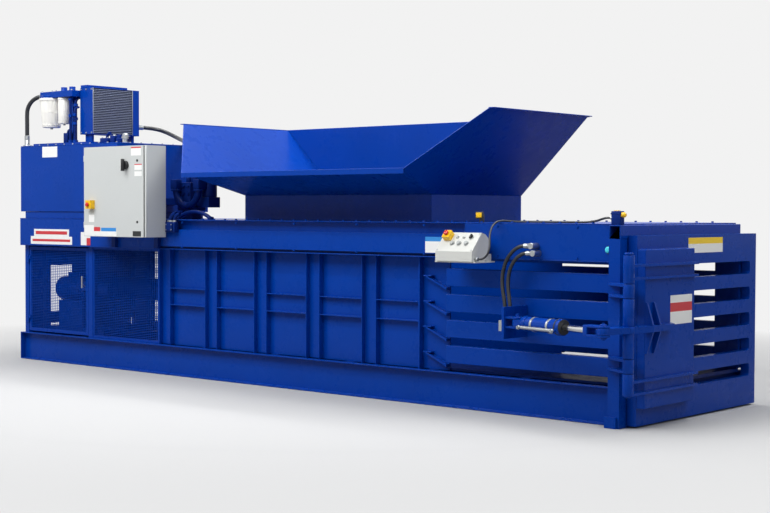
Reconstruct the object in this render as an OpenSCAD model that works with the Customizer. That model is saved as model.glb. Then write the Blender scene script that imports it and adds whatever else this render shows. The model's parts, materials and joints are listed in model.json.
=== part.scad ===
// Horizontal closed-door recycling baler with a raised feed hopper.
// Units are millimetres, +Z is up. The origin is the middle of the base frame, on the floor.
// Inside the modules X runs from the rear end of the base to the bale door,
// Y runs from the near face of the base to the far one, and Z is the height above the floor.

/* [Base frame] */
// Length of the base rails
base_l = 8070; // [7900:10:8400]
// Width across the base rails
base_w = 2000; // [1950:10:2100]
// Height of the base rails
base_h = 305; // [285:5:320]
// Flange width of the rail and beam channels
rail_flange = 75; // [65:1:85]
// Metal thickness of the rail and beam channels
rail_t = 10; // [6:1:14]
// Number of cross members under the floor
cross_n = 9; // [7:2:11]
// Flange width of a cross member
cross_w = 100; // [80:5:130]

/* [Chamber] */
// Distance from the base face to the toes of the wall ribs
rib_set = 70; // [50:5:90]
// Depth of the rib channels
rib_d = 58; // [50:1:66]
// Width of the rib channels
rib_w = 180; // [150:5:200]
// Metal thickness of the rib channels
rib_t = 9; // [6:1:12]
// Spacing of the wall ribs
rib_pitch = 712; // [690:2:730]
// Number of wall ribs on each side
rib_n = 5; // [4:1:5]
// Height of the middle of the horizontal channels
stringer_z = 811; // [700:5:900]
// Thickness of the chamber wall plates
wall_t = 12; // [8:1:16]
// Thickness of the chamber floor plate
floor_t = 20; // [12:1:25]
// Thickness of the chamber roof plate
roof_t = 12; // [8:1:16]
// Height of the underside of the upper beams
beam_z = 1300; // [1290:5:1320]
// Height of the upper beams
beam_h = 310; // [300:5:330]
// Length of the machinery cage behind the chamber
cage_l = 2350; // [2300:10:2400]
// Start of the bale chamber with its slotted walls
bale_x = 6195; // [6165:5:6225]
// Width of the tie guide plates
guide_w = 310; // [290:5:320]

/* [Tie slots] */
// Height of a side wall slot
slot_h = 72; // [60:1:80]
// Spacing of the slots
slot_pitch = 225; // [215:1:230]
// Number of slots in each wall
slot_n = 5; // [4:1:5]
// Height of the lowest slot in the door
door_slot_z = 265; // [255:1:275]
// Height of a slot in the door
door_slot_h = 112; // [100:1:118]

/* [Hopper] */
// Middle of the hopper along the machine
hop_x = 4617; // [4580:5:4650]
// Length of the hopper neck
neck_l = 2428; // [2300:10:2480]
// Width of the hopper neck
neck_w = 1380; // [1300:10:1450]
// Height of the top of the neck
neck_z = 1856; // [1800:2:1900]
// Length of the hopper rim
rim_l = 3944; // [3800:10:4000]
// Height of the hopper rim
rim_z = 2592; // [2500:2:2650]
// Reach of the low feed lip in front of the neck
lip_out = 653; // [600:5:700]
// Height of the low feed lip
lip_z = 2068; // [2040:2:2100]
// Distance from the neck face to the near ends of the rim
rim_out = 156; // [100:2:220]
// Sheet thickness of the hopper
hop_t = 8; // [5:1:12]
// Width of the stiffening flange on the hopper edges
lip_flange = 50; // [35:1:60]

/* [End door] */
// Thickness of the end door
door_t = 80; // [70:1:90]
// Height of the door top edge
door_top = 1518; // [1508:2:1526]
// Height of the door bottom edge
door_bottom = 15; // [10:1:25]
// Distance of the hinge axis ahead of the base rails
hinge_out = 150; // [145:1:165]
// Distance of the hinge axis in front of the near rail face
hinge_fwd = 220; // [215:1:240]
// Diameter of the hinge pin
hinge_pin_d = 50; // [40:1:56]
// Outside diameter of the hinge barrels
barrel_d = 88; // [80:1:96]
// Side of the square end posts and of the header tube
post_w = 105; // [100:1:108]
// Reach of the lever from the hinge axis to its pin
lever_r = 280; // [260:2:290]
// Thickness of the lever plate
lever_t = 50; // [40:1:56]
// Height of the middle of the lever
lever_z = 795; // [785:1:805]
// Bore of the door cylinder
door_bore = 90; // [80:1:94]

/* [Main cylinder and ram] */
// Outside diameter of the main cylinder
main_d = 254; // [230:2:280]
// Bore of the main cylinder
main_bore = 203; // [190:1:210]
// Diameter of the main rod
main_rod_d = 140; // [120:1:150]
// Height of the main cylinder axis
main_z = 795; // [780:5:820]
// Travel of the ram
ram_stroke = 2600; // [2500:10:2620]
// Place of the ram face at rest
ram_x = 3360; // [3340:5:3390]
// Length of the ram box
ram_l = 940; // [900:10:960]
// Plate thickness of the ram box
ram_t = 16; // [12:1:25]

/* [Oil tank and power unit] */
// Length of the oil tank
tank_l = 1740; // [1600:10:1800]
// Depth of the oil tank across the machine
tank_w = 1300; // [1200:10:1400]
// Height of the oil tank
tank_h = 745; // [715:5:765]
// Height of the plinth under the oil tank
skid_h = 75; // [65:1:85]
// Width of the oil cooler across the machine
cooler_w = 655; // [630:5:680]
// Height of the oil cooler
cooler_h = 515; // [490:5:540]
// Depth of the oil cooler along the machine
cooler_d = 225; // [210:5:240]

/* [Control cabinet and console] */
// Width of the control cabinet
cab_w = 1014; // [960:2:1050]
// Height of the control cabinet
cab_h = 938; // [900:2:960]
// Depth of the control cabinet
cab_d = 262; // [240:2:280]
// Distance of the cabinet from the rear end
cab_x = 1576; // [1560:2:1600]
// Height of the underside of the cabinet
cab_z = 1427; // [1400:1:1440]
// Width of the operator console
con_w = 390; // [374:2:410]
// Height of the back of the operator console
con_h = 240; // [230:1:250]

/* [Hidden] */
$fn = 48;
// Cut allowance that carries a cut past the face it opens
eps = 1;
// Radial running clearance of pins and rods
run_c = 0.05;
// Hairline weld seam that keeps neighbouring plates separate solids
seam = 0.5;
// Clearance between parts that swing past each other
swing_c = 10;
paint = "#1b2f86";
paint_dark = "#14215f";
steel = "#c9ccd0";

// Main levels and lines of the machine
floor_top = base_h + floor_t;
beam_top = beam_z + beam_h;
roof_z = beam_top - roof_t;
mid_y = base_w / 2;
wall_y = rib_set + rib_d;
inner_y = wall_y + wall_t;
post_x = base_l - post_w;
header_h = 110;
header_z = beam_top - swing_c - header_h;
door_x = base_l + swing_c;
door_face = door_x + door_t;
slot_top_z = base_h + slot_h + (slot_n - 1) * slot_pitch;
bar_h = slot_pitch - slot_h;

// A child drawn on the near side and mirrored to the far side
module both_sides() {
  children();
  translate([0, base_w, 0]) mirror([0, 1, 0]) children();
}

// Moves from the rear corner of the base to the part's origin
module place() {
  translate([-base_l / 2, -mid_y, 0]) children();
}

// Box from its low corner to its high corner
module box(a, b) {
  translate(a) cube(b - a);
}

// Channel along X with its web at the high Y side and its toes towards low Y
module channel_x(l, h, b, t) {
  difference() {
    cube([l, b, h]);
    translate([-eps, -eps, t]) cube([l + 2 * eps, b - t + eps, h - 2 * t]);
  }
}

// Upright channel with its web at the high Y side
module channel_z(l, w, b, t) {
  difference() {
    cube([w, b, l]);
    translate([t, -eps, -eps]) cube([w - 2 * t, b - t + eps, l + 2 * eps]);
  }
}

// Square tube along X
module tube_x(l, w, h, t) {
  difference() {
    cube([l, w, h]);
    translate([-eps, t, t]) cube([l + 2 * eps, w - 2 * t, h - 2 * t]);
  }
}

// Cylinder along X or Y from a start point
module rod_x(p, l, d) {
  translate(p) rotate([0, 90, 0]) cylinder(h = l, d = d);
}
module rod_y(p, l, d) {
  translate(p) rotate([-90, 0, 0]) cylinder(h = l, d = d);
}

// Base rails with smooth webs outwards, closed at the rear by an end plate
rail_end_t = 12;
module base_rails() color(paint) both_sides() {
  translate([rail_end_t, 0, 0]) channel_x(base_l - rail_end_t, base_h, rail_flange, rail_t);
  cube([rail_end_t, rail_flange, base_h]);
}

// I-section cross members between the rails, flush with the floor
module base_cross_members() color(paint_dark) {
  span = base_l - cross_w;
  for (i = [0 : cross_n - 1]) {
    x = cross_w / 2 + span * i / (cross_n - 1);
    translate([x, rail_flange, 0]) cross_member(base_w - 2 * rail_flange);
  }
}
module cross_member(l) {
  difference() {
    translate([-cross_w / 2, 0, 0]) cube([cross_w, l, base_h]);
    for (s = [-1, 1])
      translate([s * (cross_w + rail_t) / 2 - cross_w / 2, -eps, rail_t])
        cube([cross_w, l + 2 * eps, base_h - 2 * rail_t]);
  }
}

// Floor plate of the chamber on top of the rails
module chamber_floor() color(paint_dark) box([cage_l, inner_y, base_h],
  [base_l, base_w - inner_y, floor_top]);

// Chamber walls: full height beside the ram, a top strip over the slotted bale chamber
module side_walls() color(paint) both_sides() {
  box([cage_l, wall_y, base_h], [bale_x - seam, inner_y, roof_z]);
  box([bale_x, wall_y, slot_top_z], [post_x, inner_y, roof_z]);
}

// Upright channels on the walls and the deep end rib before the tie guides
end_rib_x = bale_x - guide_w - rib_t;
module wall_ribs() color(paint) both_sides() {
  for (i = [0 : rib_n - 1])
    translate([cage_l + i * rib_pitch, rib_set, base_h])
      channel_z(beam_z - base_h, rib_w, rib_d, rib_t);
  box([end_rib_x, rib_set, base_h], [end_rib_x + rib_t * 2, wall_y, beam_z]);
  stringers();
}

// Horizontal channels between the ribs
module stringers() {
  for (i = [0 : rib_n - 1]) {
    x0 = cage_l + i * rib_pitch + rib_w;
    x1 = i < rib_n - 1 ? x0 + rib_pitch - rib_w : end_rib_x;
    translate([x0 + seam, rib_set, stringer_z - rib_w / 2])
      channel_x(x1 - x0 - 2 * seam, rib_w, rib_d, rib_t);
  }
}

// Upper beam channels with their toes outwards
module upper_beams() color(paint) both_sides() {
  translate([0, 0, beam_z]) channel_x(post_x, beam_h, rail_flange, rail_t);
}

// Flat covers in the beam: full height at both ends, a low wireway along the middle
wireway_x = 6450;
wireway_z0 = beam_z + 32;
wireway_z1 = beam_z + 208;
cover_t = 6;
cover_set = 2;
module beam_covers() color(paint) both_sides() {
  box([0, cover_set, beam_z + rail_t], [cage_l, cover_set + cover_t, beam_top - rail_t]);
  difference() {
    box([cage_l, cover_set, wireway_z0], [wireway_x, rail_flange - rail_t, wireway_z1]);
    box([cage_l - eps, cover_set + cover_t, wireway_z0 + cover_t],
      [wireway_x + eps, rail_flange, wireway_z1 - cover_t]);
  }
  box([wireway_x, cover_set, beam_z + rail_t], [post_x, cover_set + cover_t, beam_top - rail_t]);
  for (x = [0, cage_l - cover_t, wireway_x, post_x - cover_t])
    box([x, cover_set + cover_t, beam_z + rail_t],
      [x + cover_t, rail_flange - rail_t, beam_top - rail_t]);
}

// Tubes between the tie slots of the bale chamber
bar_t = 10;
far_drop = 25;
far_post_l = 130;
module chamber_bars() color(paint) for (i = [0 : slot_n - 2]) {
  z = base_h + slot_h + i * slot_pitch;
  translate([bale_x, rib_set, z])
    tube_x(post_x - bale_x, inner_y - rib_set, bar_h, bar_t);
  translate([bale_x, base_w - inner_y, z - far_drop])
    tube_x(post_x - far_post_l - bale_x, inner_y - rib_set, bar_h, bar_t);
}

// Wire guides beside the slots: a flat tab above a slanted chute that leads to the slot
tab_l = 90;
tab_t = 10;
tab_out = 55;
module tie_guides() color(paint) both_sides() {
  for (i = [1 : slot_n - 1]) {
    z = base_h + slot_h + (i - 1) * slot_pitch + bar_h / 2;
    translate([bale_x - guide_w + tab_l / 2, wall_y, z]) {
      translate([0, -tab_out, 0]) cube([tab_l, tab_out, tab_t]);
      rotate([90, 0, 0]) linear_extrude(tab_out) polygon([
        [tab_l * 0.35, -tab_t], [tab_l * 0.35 + tab_t, 0], [guide_w - tab_l / 2, -bar_h * 0.6],
          [guide_w - tab_l / 2, -bar_h * 0.75]
      ]);
    }
  }
}

// Near end post outside the rail with the hinge lugs welded to it, and the two door jambs
lug_t = 20;
lug_z = [460, 548, 1040, 1128];
foot_t = 20;
foot_h = 90;
hinge_x = base_l + hinge_out;
hinge_y = -hinge_fwd;
module lug_outline() {
  difference() {
    union() {
      translate([hinge_x, hinge_y]) circle(d = barrel_d);
      polygon([
        [post_x, -post_w], [post_x + post_w * 0.3, -post_w - swing_c * 4],
        [hinge_x - barrel_d * 0.3, hinge_y - barrel_d * 0.4],
        [hinge_x + barrel_d * 0.4, hinge_y + barrel_d * 0.3], [base_l, -post_w * 0.3], [base_l, -post_w]
      ]);
    }
    translate([hinge_x, hinge_y]) circle(d = hinge_pin_d + 2 * run_c);
  }
}
module end_posts() color(paint) {
  difference() {
    translate([post_x, -post_w, 0]) cube([post_w, post_w, header_z]);
    translate([post_x + rail_t, -post_w + rail_t, -eps])
      cube([post_w - 2 * rail_t, post_w - 2 * rail_t, header_z + 2 * eps]);
  }
  box([post_x - foot_t, -post_w - foot_t, 0], [base_l - foot_t, -post_w, foot_h]);
  for (z = lug_z) translate([0, 0, z]) linear_extrude(lug_t) lug_outline();
  for (z = [lug_z[0], lug_z[2]]) translate([hinge_x, hinge_y, z + lug_t]) difference() {
    cylinder(h = lug_z[1] - lug_z[0] - lug_t, d = barrel_d);
    translate([0, 0, -eps]) cylinder(h = lug_z[1] - lug_z[0], d = hinge_pin_d + 2 * run_c);
  }
  both_sides() difference() {
    box([post_x, rail_t, floor_top], [base_l, inner_y, header_z]);
    box([post_x + rail_t, 2 * rail_t, floor_top - eps],
      [base_l - rail_t, inner_y - rail_t, header_z + eps]);
  }
  box([post_x - far_post_l, base_w - inner_y, base_h], [post_x - seam, base_w - rail_t, slot_top_z]);
}

// Header tube across the door end, open at its ends
header_end = 115;
module door_header() color(paint) difference() {
  box([post_x, -post_w, header_z], [base_l, base_w - header_end, header_z + header_h]);
  box([post_x + rail_t, -post_w - eps, header_z + rail_t],
    [base_l - rail_t, base_w, header_z + header_h - rail_t]);
}

// Roof plate of the chamber with the opening under the hopper neck, and the deck over the cage
neck_x0 = hop_x - neck_l / 2;
neck_x1 = hop_x + neck_l / 2;
neck_y0 = mid_y - neck_w / 2;
neck_y1 = mid_y + neck_w / 2;
module roof_plates() color(paint) {
  roof_x0 = neck_x0 + hop_t;
  roof_x1 = neck_x1 - hop_t;
  box([cage_l, rail_flange, roof_z], [roof_x0, base_w - rail_flange, beam_top]);
  box([roof_x1, rail_flange, roof_z], [post_x, base_w - rail_flange, beam_top]);
  both_sides() box([roof_x0 + seam, rail_flange, roof_z], [roof_x1 - seam, neck_y0 + hop_t, beam_top]);
  box([0, rail_flange, roof_z], [cage_l - seam, base_w - rail_flange, beam_top]);
  box([0, rail_flange, beam_z], [cover_t * 2, base_w - rail_flange, roof_z - seam]);
}

// Posts of the cage on both sides and at the rear end
cage_post = 70;
cage_mid_x = 1165;
cage_mid_w = 75;
cage_y = rib_set;
rear_rail_z = 450;
rear_gap_z = 385;
rear_open_z1 = 1060;
rear_post_y = 375;
rear_window_w = 340;
rear_sheet_x = 10;
rear_sheet_t = 6;
module cage_posts() color(paint) {
  both_sides() {
    box([0, cage_y, base_h], [cage_post, cage_y + cage_post, beam_z]);
    box([cage_mid_x, cage_y, base_h], [cage_mid_x + cage_mid_w, cage_y + cage_post, beam_z]);
    box([0, rear_post_y - cage_post, base_h], [cage_post, rear_post_y, beam_z]);
  }
  for (z = [rear_rail_z, rear_open_z1])
    box([0, rear_post_y + seam, z], [cage_post, base_w - rear_post_y - seam, z + cage_post]);
  rear_sheets();
  for (z = cage_hinge_z) {
    translate([cage_hinge_x, cage_hinge_y, z]) cylinder(h = leaf_h, d = leaf_d);
    box([cage_hinge_x - leaf_d * 1.5, cage_hinge_y, z], [cage_hinge_x, cage_y, z + leaf_h]);
    translate([cage_hinge_x, cage_hinge_y, z + leaf_h]) cylinder(h = leaf_h + swing_c, d = leaf_d / 2);
  }
}
// Cover sheets of the rear end, which leave one window by the motor and a gap above the base
module rear_sheets() {
  x1 = rear_sheet_x + rear_sheet_t;
  far_y = base_w - rear_post_y - seam;
  both_sides() box([rear_sheet_x, cage_y + cage_post, base_h], [x1, rear_post_y - cage_post, beam_z]);
  box([rear_sheet_x, rear_post_y + seam, rear_open_z1 + cage_post], [x1, far_y, beam_z]);
  box([rear_sheet_x, rear_post_y + seam, rear_gap_z], [x1, far_y, rear_rail_z]);
  box([rear_sheet_x, rear_post_y + rear_window_w, rear_rail_z + cage_post], [x1, far_y, rear_open_z1]);
}
// Loose-pin hinges: a fixed leaf with an upright pin and a bored leaf that stands on it
leaf_h = 40;
leaf_d = 24;
leaf_gap = 0.5;
cage_hinge_z = [420, 1100];

// Perforated panels: a thin plate with a regular grid of rectangular gaps
mesh_t = 6;
mesh_rim = 25;
module mesh_panel(w, h, nx, nz) {
  bar = 14;
  pw = (w - 2 * mesh_rim + bar) / nx;
  ph = (h - 2 * mesh_rim + bar) / nz;
  rotate([90, 0, 0]) translate([0, 0, -mesh_t]) linear_extrude(mesh_t) difference() {
    square([w, h]);
    for (i = [0 : nx - 1], k = [0 : nz - 1])
      translate([mesh_rim + i * pw, mesh_rim + k * ph]) square([pw - bar, ph - bar]);
  }
}
panel_x = cage_mid_x + cage_mid_w;
panel_h = beam_z - base_h;
module cage_panels() color(paint_dark) {
  translate([panel_x, cage_y + mesh_t, base_h]) mesh_panel(cage_l - panel_x, panel_h, 10, 10);
  for (x = [cage_post, panel_x])
    translate([x, base_w - cage_y - 2 * mesh_t, base_h])
      mesh_panel((x == cage_post ? cage_mid_x : cage_l) - x, panel_h, 10, 10);
}

// Straight neck that carries the hopper over the roof opening
module hopper_neck() color(paint) {
  for (x = [neck_x0, neck_x1 - hop_t])
    box([x, neck_y0, beam_top], [x + hop_t, neck_y1, neck_z]);
  for (y = [neck_y0, neck_y1 - hop_t])
    box([neck_x0 + hop_t + seam, y, beam_top], [neck_x1 - hop_t - seam, y + hop_t, neck_z]);
}

// Flared hopper: two sloped end sheets, an upright far sheet and the low near sheet with its lip.
hop_in = neck_x0 + hop_t;
hop_run = (rim_l - neck_l) / 2;
hop_off = hop_t * 1.4;
flare = hop_run / (rim_z - neck_z);
rim_x0 = hop_in - hop_run;
rim_y0 = neck_y0 - rim_out;
lip_y = neck_y0 - lip_out;
lip_x0 = hop_in - flare * (lip_z - neck_z);
far_y = neck_y1 - hop_t;
module hop_profile(t) {
  translate([t, 0, 0]) rotate([90, 0, 90]) linear_extrude(rim_l) polygon([
    [neck_y0, neck_z], [neck_y1, neck_z], [neck_y1, rim_z], [rim_y0, rim_z], [lip_y, lip_z + hop_t],
      [lip_y, lip_z]
  ]);
}
module hop_inside(y0, y1) {
  translate([0, y1, 0]) rotate([90, 0, 0]) linear_extrude(y1 - y0) polygon([
    [hop_in + seam, neck_z], [2 * hop_x - hop_in - seam, neck_z],
    [2 * hop_x - rim_x0 - seam, rim_z], [rim_x0 + seam, rim_z]
  ]);
}
module hopper_end() {
  intersection() {
    translate([0, neck_y1 + eps, 0]) rotate([90, 0, 0])
      linear_extrude(neck_y1 - lip_y + 2 * eps) polygon([
      [hop_in, neck_z], [hop_in - hop_off, neck_z], [rim_x0 - hop_off, rim_z], [rim_x0, rim_z]
    ]);
    hop_profile(rim_x0 - hop_off - eps);
  }
  box([rim_x0 - hop_off - lip_flange, rim_y0, rim_z], [rim_x0, neck_y1, rim_z + hop_t]);
}
module hopper_walls() color(paint) {
  hopper_end();
  translate([2 * hop_x, 0, 0]) mirror([1, 0, 0]) hopper_end();
  hop_inside(far_y, neck_y1);
  box([rim_x0 + seam, far_y, rim_z], [2 * hop_x - rim_x0 - seam, neck_y1 + lip_flange, rim_z + hop_t]);
  intersection() {
    translate([rim_x0, 0, 0]) rotate([90, 0, 90]) linear_extrude(2 * (hop_x - rim_x0)) polygon([
      [neck_y0, neck_z], [neck_y0 + hop_t, neck_z], [neck_y0 + hop_t, neck_z + hop_t],
        [lip_y, lip_z + hop_t], [lip_y, lip_z]
    ]);
    hop_inside(lip_y - eps, neck_y1);
  }
  box([lip_x0 - hop_off, lip_y - hop_t, lip_z - lip_flange + hop_t],
    [2 * hop_x - lip_x0 + hop_off, lip_y - seam, lip_z + hop_t]);
}

// Oil tank on a plinth frame, with a lid on its gasket
tank_z = beam_top + skid_h;
tank_top = tank_z + tank_h;
tank_x = 10;
tank_y = 5;
skid_set = 70;
skid_in = 12;
skid_w = 60;
tank_t = 8;
lid_t = 10;
module oil_tank() color(paint) {
  difference() {
    box([tank_x, tank_y, tank_z], [tank_x + tank_l, tank_y + tank_w, tank_top - lid_t - seam]);
    box([tank_x + tank_t, tank_y + tank_t, tank_z + tank_t],
      [tank_x + tank_l - tank_t, tank_y + tank_w - tank_t, tank_top]);
  }
  box([tank_x, tank_y, tank_top - lid_t], [tank_x + tank_l, tank_y + tank_w, tank_top]);
  for (y = [tank_y + skid_in, tank_y + tank_w - skid_in - skid_w])
    box([tank_x + skid_set, y, beam_top], [tank_x + tank_l - skid_set, y + skid_w, tank_z - seam]);
  for (x = [tank_x + skid_set, tank_x + tank_l - skid_set - skid_w])
    box([x, tank_y + skid_in + skid_w + seam, beam_top],
      [x + skid_w, tank_y + tank_w - skid_in - skid_w - seam, tank_z - seam]);
}

// Drip plate with the cooler and filter stands on the tank, and the bed of the pump set in the cage
unit_x = 180;
unit_y = 60;
unit_l = 1050;
unit_w = 850;
unit_h = 24;
unit_top = tank_top + unit_h;
bed_h = 60;
bed_x1 = 1100;
module power_unit_base() color(paint) {
  box([unit_x, unit_y, tank_top], [unit_x + unit_l, unit_y + unit_w, unit_top]);
  for (y = [cooler_y + 30, cooler_y + cooler_w - 60])
    box([cooler_x + cooler_d / 4, y, unit_top + seam], [cooler_x + cooler_d * 3 / 4, y + 30, cooler_z]);
  box([can_x + can_d / 2 + 20, bowl_y + 20, unit_top + seam],
    [can_x + can_d / 2 + 65, bowl_y + 65, head_z]);
  box([cage_post + 2, motor_y - motor_d * 0.55, base_h],
    [bed_x1, motor_y + motor_d * 0.55, base_h + bed_h]);
}

// Electric motor on its feet, the bell housing and the pump, in line along the machine
motor_x = 200;
motor_off = 520;
motor_y = mid_y - motor_off;
motor_d = 270;
motor_l = 520;
term_x = 150;
term_l = 220;
motor_z = 800;
bell_l = 130;
pump_l = 210;
module pump_set() color(paint) {
  motor_r = motor_d / 2;
  bell_x = motor_x + motor_l + seam;
  pump_x = bell_x + bell_l + seam;
  rod_x([motor_x, motor_y, motor_z], motor_l, motor_d);
  box([motor_x + 40, motor_y - motor_d * 0.45, base_h + bed_h],
    [motor_x + motor_l - 40, motor_y + motor_d * 0.45, motor_z - motor_r - seam]);
  box([motor_x + term_x, motor_y - motor_d * 0.25, motor_z + motor_r + seam],
    [motor_x + term_x + term_l, motor_y + motor_d * 0.25, motor_z + motor_d * 0.7]);
  rod_x([bell_x, motor_y, motor_z], bell_l, motor_d * 0.8);
  rod_x([pump_x, motor_y, motor_z], pump_l, motor_d * 0.55);
}

// Valve manifold with its pipe elbows between the tank and the hopper
man_x = 2265;
man_y = 400;
man_l = 205;
man_w = 220;
man_h = 300;
man_z = beam_top + 90;
pipe_d = 76;
link_y1 = 790;
link_z = man_z + 60;
link_top = link_z + pipe_d;
riser_d = 165;
riser_x = man_x + man_l + 175;
elbow_h = 110;
module valve_manifold() color(paint_dark) {
  mid = man_y + man_w / 2;
  elbow_z = man_z + 35;
  box([man_x, man_y, man_z], [man_x + man_l, man_y + man_w, man_z + man_h]);
  box([man_x + 25, man_y + 40, beam_top], [man_x + man_l - 25, man_y + man_w - 40, man_z - seam]);
  rod_x([man_x + man_l + seam, mid, elbow_z + elbow_h / 2],
    riser_x - riser_d / 2 - man_x - man_l - 2 * seam, elbow_h);
  box([riser_x - riser_d / 2, mid - riser_d / 2, elbow_z],
    [riser_x + riser_d / 2, mid + riser_d / 2, elbow_z + elbow_h]);
  translate([riser_x, mid, elbow_z + elbow_h + seam]) cylinder(h = man_h - 95, d = riser_d);
  for (x = [man_x + 60, man_x + 145])
    translate([x, mid, man_z + man_h + seam]) cylinder(h = 60, d = 60);
  box([tank_x + tank_l, man_y + 30, link_z], [man_x - seam, link_y1, link_top]);
}

// Return filter heads on the cooler side, carried by a stand on the drip plate
bowl_x = 400;
bowl_y = 150;
bowl_r = 132;
bowl_h = 330;
bowl_z = tank_top + 205;
can_x = 635;
can_d = 135;
head_z = bowl_z + bowl_h;
head_h = 70;
module filter_heads() color(paint) {
  box([bowl_x - bowl_r * 0.85, bowl_y - 75, head_z], [cooler_x, bowl_y + 75, head_z + head_h]);
  translate([bowl_x, bowl_y, head_z]) cylinder(h = head_h * 0.5, r = bowl_r * 0.84);
  for (x = [can_x, can_x + 150]) translate([x, bowl_y, head_z + head_h]) cylinder(h = 45, d = 70);
}
module filter_bowls() color("#f4f4f0") {
  translate([bowl_x, bowl_y, bowl_z]) cylinder(h = bowl_h, r1 = bowl_r * 0.76, r2 = bowl_r);
  translate([can_x, bowl_y, bowl_z + 35]) cylinder(h = bowl_h - 35, d = can_d);
}

// Oil cooler: a shroud round the finned core, open on the fan side
cooler_x = 875;
cooler_y = 187;
cooler_z = tank_top + 115;
shroud_t = 5;
core_d = 60;
header_w = 92;
fan_y = cooler_y + (cooler_w - header_w) / 2;
fan_z = cooler_z + cooler_h / 2;
fan_r = cooler_h * 0.43;
module cooler_shroud() color(paint) {
  w = cooler_w - header_w;
  top = cooler_z + cooler_h;
  difference() {
    translate([cooler_x, cooler_y, cooler_z]) cube([cooler_d, w, cooler_h]);
    translate([cooler_x + shroud_t, cooler_y + shroud_t, cooler_z + shroud_t])
      cube([cooler_d, w - 2 * shroud_t, cooler_h - 2 * shroud_t]);
    rod_x([cooler_x - eps, fan_y, fan_z], shroud_t + 2 * eps, fan_r * 2 + 20);
  }
  fan_motor_l = cooler_d - core_d - shroud_t - 60;
  rod_x([cooler_x + shroud_t + 60, fan_y, fan_z], fan_motor_l, 120);
  box([cooler_x + cooler_d - core_d - 20, cooler_y + w + seam, cooler_z],
    [cooler_x + cooler_d, cooler_y + cooler_w, top]);
  box([cooler_x + 10, cooler_y, top + seam], [cooler_x + 130, cooler_y + w, top + 32]);
}
module cooler_core() color("#22242c") {
  x0 = cooler_x + cooler_d - core_d;
  in = shroud_t + seam;
  w = cooler_w - header_w - 2 * in;
  difference() {
    translate([x0, cooler_y + in, cooler_z + in]) cube([core_d - 6, w, cooler_h - 2 * in]);
    for (i = [0 : 15])
      translate([x0 + core_d - 20, cooler_y + 30, cooler_z + 22 + i * (cooler_h - 30) / 16])
        cube([20, cooler_w - header_w - 60, (cooler_h - 30) / 32]);
  }
}
module cooler_fan() color("black") {
  difference() {
    rod_x([cooler_x + shroud_t + 10, fan_y, fan_z], 49.7, 90);
    rod_x([cooler_x + shroud_t + 30, fan_y, fan_z], 40, 40);
  }
  for (a = [0 : 60 : 300])
    translate([cooler_x + shroud_t + 34, fan_y, fan_z]) rotate([a, 0, 0]) rotate([0, 0, 35])
      translate([-3, -30, 40]) cube([6, 60, fan_r - 50]);
}

// Upright brackets that hold the control cabinet off the beam
cab_gap = 38;
cab_y = -cab_d - cab_gap;
cab_post = 60;
module cabinet_posts() color(paint_dark) {
  for (x = [cab_x + 130, cab_x + cab_w - 130 - cab_post])
    box([x, -cab_gap, beam_z + rail_t], [x + cab_post, 0, cab_z + cab_h - 60]);
}

// Folded cabinet box with its rim, and the door on the front
cab_t = 3;
cab_rim = 30;
cab_door_t = 22;
cab_strip = 40;
cab_leaf_z = [cab_z + 90, cab_z + cab_h - 150];
cab_leaf_d = 16;
cab_leaf_h = 30;
cab_pin_x = cab_x - cab_leaf_d / 2 - 1;
cab_pin_y = cab_y + cab_door_t / 2;
module cabinet_box() color("#c9cbc9") {
  for (z = cab_leaf_z) {
    translate([cab_pin_x, cab_pin_y, z]) cylinder(h = cab_leaf_h, d = cab_leaf_d);
    translate([cab_pin_x, cab_pin_y, z + cab_leaf_h]) cylinder(h = cab_leaf_h + 6, d = cab_leaf_d / 2);
    box([cab_pin_x, cab_pin_y, z], [cab_x - 1, cab_y + cab_door_t + 30, z + cab_leaf_h]);
    box([cab_x - 1, cab_y + cab_door_t, z], [cab_x, cab_y + cab_door_t + 30, z + cab_leaf_h]);
  }
  cabinet_shell();
}
module cabinet_shell() difference() {
  translate([cab_x, cab_y + cab_door_t, cab_z]) cube([cab_w, cab_d - cab_door_t, cab_h]);
  translate([cab_x + cab_t, cab_y + cab_door_t + cab_t, cab_z + cab_t])
    cube([cab_w - 2 * cab_t, cab_d - cab_door_t - 2 * cab_t, cab_h - 2 * cab_t]);
  translate([cab_x + cab_rim, cab_y + cab_door_t - eps, cab_z + cab_rim])
    cube([cab_w - 2 * cab_rim - cab_strip, cab_t + 2 * eps, cab_h - 2 * cab_rim]);
}
cab_seam = 1;
cab_door_w = cab_w - cab_strip;
latch_d = 26;
latch_x = cab_x + cab_door_w - 97;
latch_lo = cab_z + 156;
latch_hi = cab_z + cab_h - 154;
switch_x = cab_x + cab_w * 0.688;
switch_z = cab_z + cab_h * 0.79;
switch_d = 34;
stop_x = cab_x + 136;
stop_z = cab_z + cab_h * 0.357;
stop_d = 22;
stop_box = 90;
stop_deep = 55;
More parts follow.
